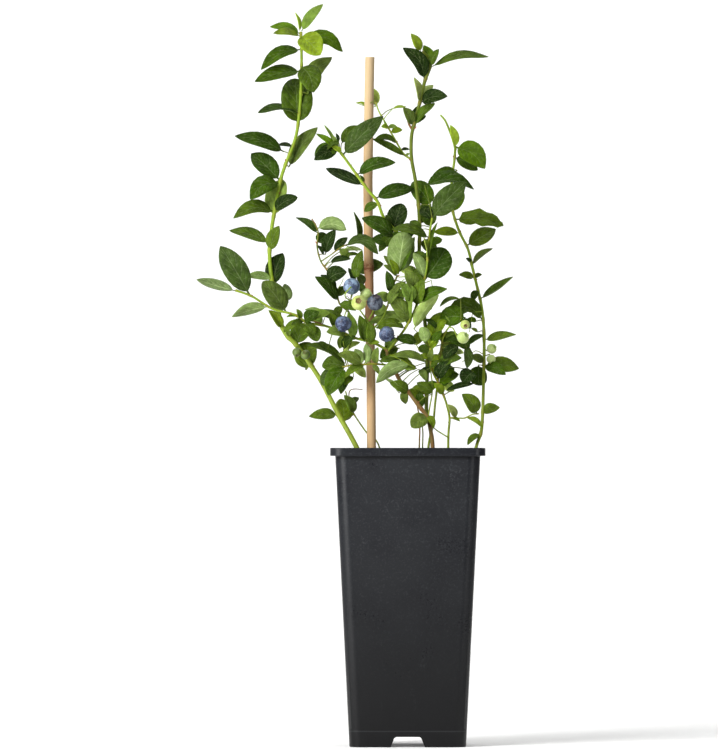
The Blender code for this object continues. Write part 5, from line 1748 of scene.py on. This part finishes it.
class BUSH_OT_stake(bpy.types.Operator):
    """Model the cane with its node ring and hollow top"""
    bl_idname = "bush.stake"
    bl_label = "Cane stake"

    def execute(self, context):
        s = context.scene.bush_stake
        x, z, radius = STAKE[0]
        radius *= s.girth * MM
        at = place(x, 0, z)
        bpy.ops.mesh.primitive_circle_add(vertices=20, radius=radius, fill_type="NGON", location=at)
        cane = newest("stake_cane")
        shape(cane)
        pick(lambda f: True, "faces")
        for next_x, next_z, next_radius in STAKE[1:]:
            to = place(next_x, 0, next_z)
            extrude(*(to - at))
            factor = next_radius * s.girth * MM / radius
            scale(factor, factor, 1.0, tuple(to))
            at, radius = to, next_radius * s.girth * MM
        extrude(z=0.0005)
        scale(0.93, 0.93, 1.0, tuple(at))
        bpy.ops.mesh.inset(thickness=0.0014)
        extrude(z=-0.018)
        scale(0.9, 0.9, 1.0, tuple(at))
        done()
        tidy(cane, angle=40)
        coat(cane, "bamboo")
        finish_piece(cane, ["cane_stake"])
        return {"FINISHED"}


# ---------------------------------------------------------------- stage
# Name, place, the point it shines at, width and height, all in metres, and power in watts.
LIGHTS = [
    ("key_softbox", (-1.5, -2.3, 2.2), (0.0, 0.0, 0.4), (1.1, 1.1), 84.0),
    ("fill_softbox", (2.2, -1.9, 0.9), (0.0, 0.0, 0.3), (1.2, 1.6), 7.0),
    ("top_softbox", (0.3, 0.3, 2.4), (0.0, 0.0, 0.4), (1.2, 1.2), 17.0),
    ("left_strip", (-0.86, -0.78, 0.45), (0.0, 0.0, 0.25), (0.6, 0.7), 14.0),
    ("right_strip", (0.90, -0.72, 0.45), (0.0, 0.0, 0.25), (0.3, 0.7), 2.2),
    ("wall_softbox", (0.0, 0.9, 1.9), (0.0, 2.3, 0.5), (2.0, 0.6), 14.5),
]
FLOOR_SIZE, FLOOR_MIDDLE, WALL_HEIGHT, WALL_BEND = 3.0, 0.8, 2.4, 1.0
FLOOR_BACK = 2.2  # the floor's edge behind this y goes up as a wall
CAMERA_X, CAMERA_Z, AIM_Z = 0.0006, 0.292, 0.3585
SKY_SEEN = 0.96  # how bright the air is straight to the camera


def add_light(name, at, aim, size, power):
    bpy.ops.object.light_add(type="AREA", location=at)
    light = newest(name)
    turn(light, (Vector(at) - Vector(aim)).to_track_quat("Z", "Y"))
    light.data.shape = "RECTANGLE"
    light.data.size, light.data.size_y = size
    light.data.energy = power


class BUSH_OT_stage(bpy.types.Operator):
    """Set the pale floor, the soft lights and the camera"""
    bl_idname = "bush.stage"
    bl_label = "Stage"

    def execute(self, context):
        s = context.scene.bush_stage
        bpy.ops.mesh.primitive_plane_add(size=FLOOR_SIZE, location=(0.0, FLOOR_MIDDLE, 0.0))
        floor = newest("studio_floor")
        shape(floor)
        pick(lambda e: min(v.co.y for v in e.verts) > FLOOR_BACK, "edges")
        extrude(z=WALL_HEIGHT)
        pick(lambda e: all(v.co.y > FLOOR_BACK and v.co.z < NEAR for v in e.verts), "edges")
        bevel(WALL_BEND, 16)
        done()
        bpy.ops.object.shade_smooth()
        coat(floor, "studio_paper")
        for light in LIGHTS:
            add_light(*light)
        world = bpy.data.worlds.new("studio_air")
        context.scene.world = world
        world.use_nodes = True
        air = world.node_tree.nodes["Background"].inputs
        air["Color"].default_value = (1.0, 1.0, 1.0, 1.0)
        seen = node(world.node_tree, "LightPath").outputs["Is Camera Ray"]
        world.node_tree.links.new(span(world.node_tree, seen, 0.0, 1.0, s.air, SKY_SEEN),
                                  air["Strength"])
        aim = Vector((CAMERA_X, 0.0, AIM_Z))
        bpy.ops.object.camera_add(location=(CAMERA_X, -s.distance, CAMERA_Z))
        camera = newest("camera")
        turn(camera, (camera.location - aim).to_track_quat("Z", "Y"))
        camera.data.lens = s.lens
        camera.data.sensor_width = 36.0
        camera.data.clip_end = 60.0
        context.scene.camera = camera
        context.scene.view_settings.view_transform = "Standard"
        return {"FINISHED"}


# ---------------------------------------------------------------- panel
class BUSH_PT_panel(bpy.types.Panel):
    """The bush's settings and the operators that build it"""
    bl_idname = "BUSH_PT_panel"
    bl_label = "Potted Blueberry Bush"
    bl_space_type = "VIEW_3D"
    bl_region_type = "UI"
    bl_category = "Bush"

    def draw(self, context):
        for title, holder, operator in SECTIONS:
            box = self.layout.box()
            box.operator(operator, text=title)
            settings = getattr(context.scene, holder, None) if holder else None
            if settings is not None:
                for key in settings.bl_rna.properties.keys():
                    if key not in ("rna_type", "name"):
                        box.prop(settings, key)


SECTIONS = [
    ("Materials", "", "bush.materials"), ("Nursery pot", "bush_pot", "bush.pot"),
    ("Potting soil", "bush_soil", "bush.soil"), ("Cane stake", "bush_stake", "bush.stake"),
    ("Stems", "bush_stems", "bush.stems"), ("Leaves", "bush_leaves", "bush.leaves"),
    ("Berries", "bush_berries", "bush.berries"), ("Stage", "bush_stage", "bush.stage"),
]
HOLDERS = {"bush_pot": PotSettings, "bush_soil": SoilSettings, "bush_stake": StakeSettings,
           "bush_stems": StemSettings, "bush_leaves": LeafSettings, "bush_berries": BerrySettings,
           "bush_stage": StageSettings}
CLASSES = (*HOLDERS.values(), BUSH_OT_materials, BUSH_OT_pot, BUSH_OT_soil, BUSH_OT_stake,
           BUSH_OT_stems, BUSH_OT_leaves, BUSH_OT_berries, BUSH_OT_stage, BUSH_PT_panel)


def register():
    for cls in CLASSES:
        bpy.utils.register_class(cls)
    for key, cls in HOLDERS.items():
        setattr(bpy.types.Scene, key, PointerProperty(type=cls))


def unregister():
    for key in HOLDERS:
        delattr(bpy.types.Scene, key)
    for cls in reversed(CLASSES):
        bpy.utils.unregister_class(cls)


def main():
    register()
    plan(bpy.context.scene.bush_stems.step / MM)
    for _, _, operator in SECTIONS:
        group, name = operator.split(".")
        getattr(getattr(bpy.ops, group), name)()


if __name__ == "__main__":
    main()
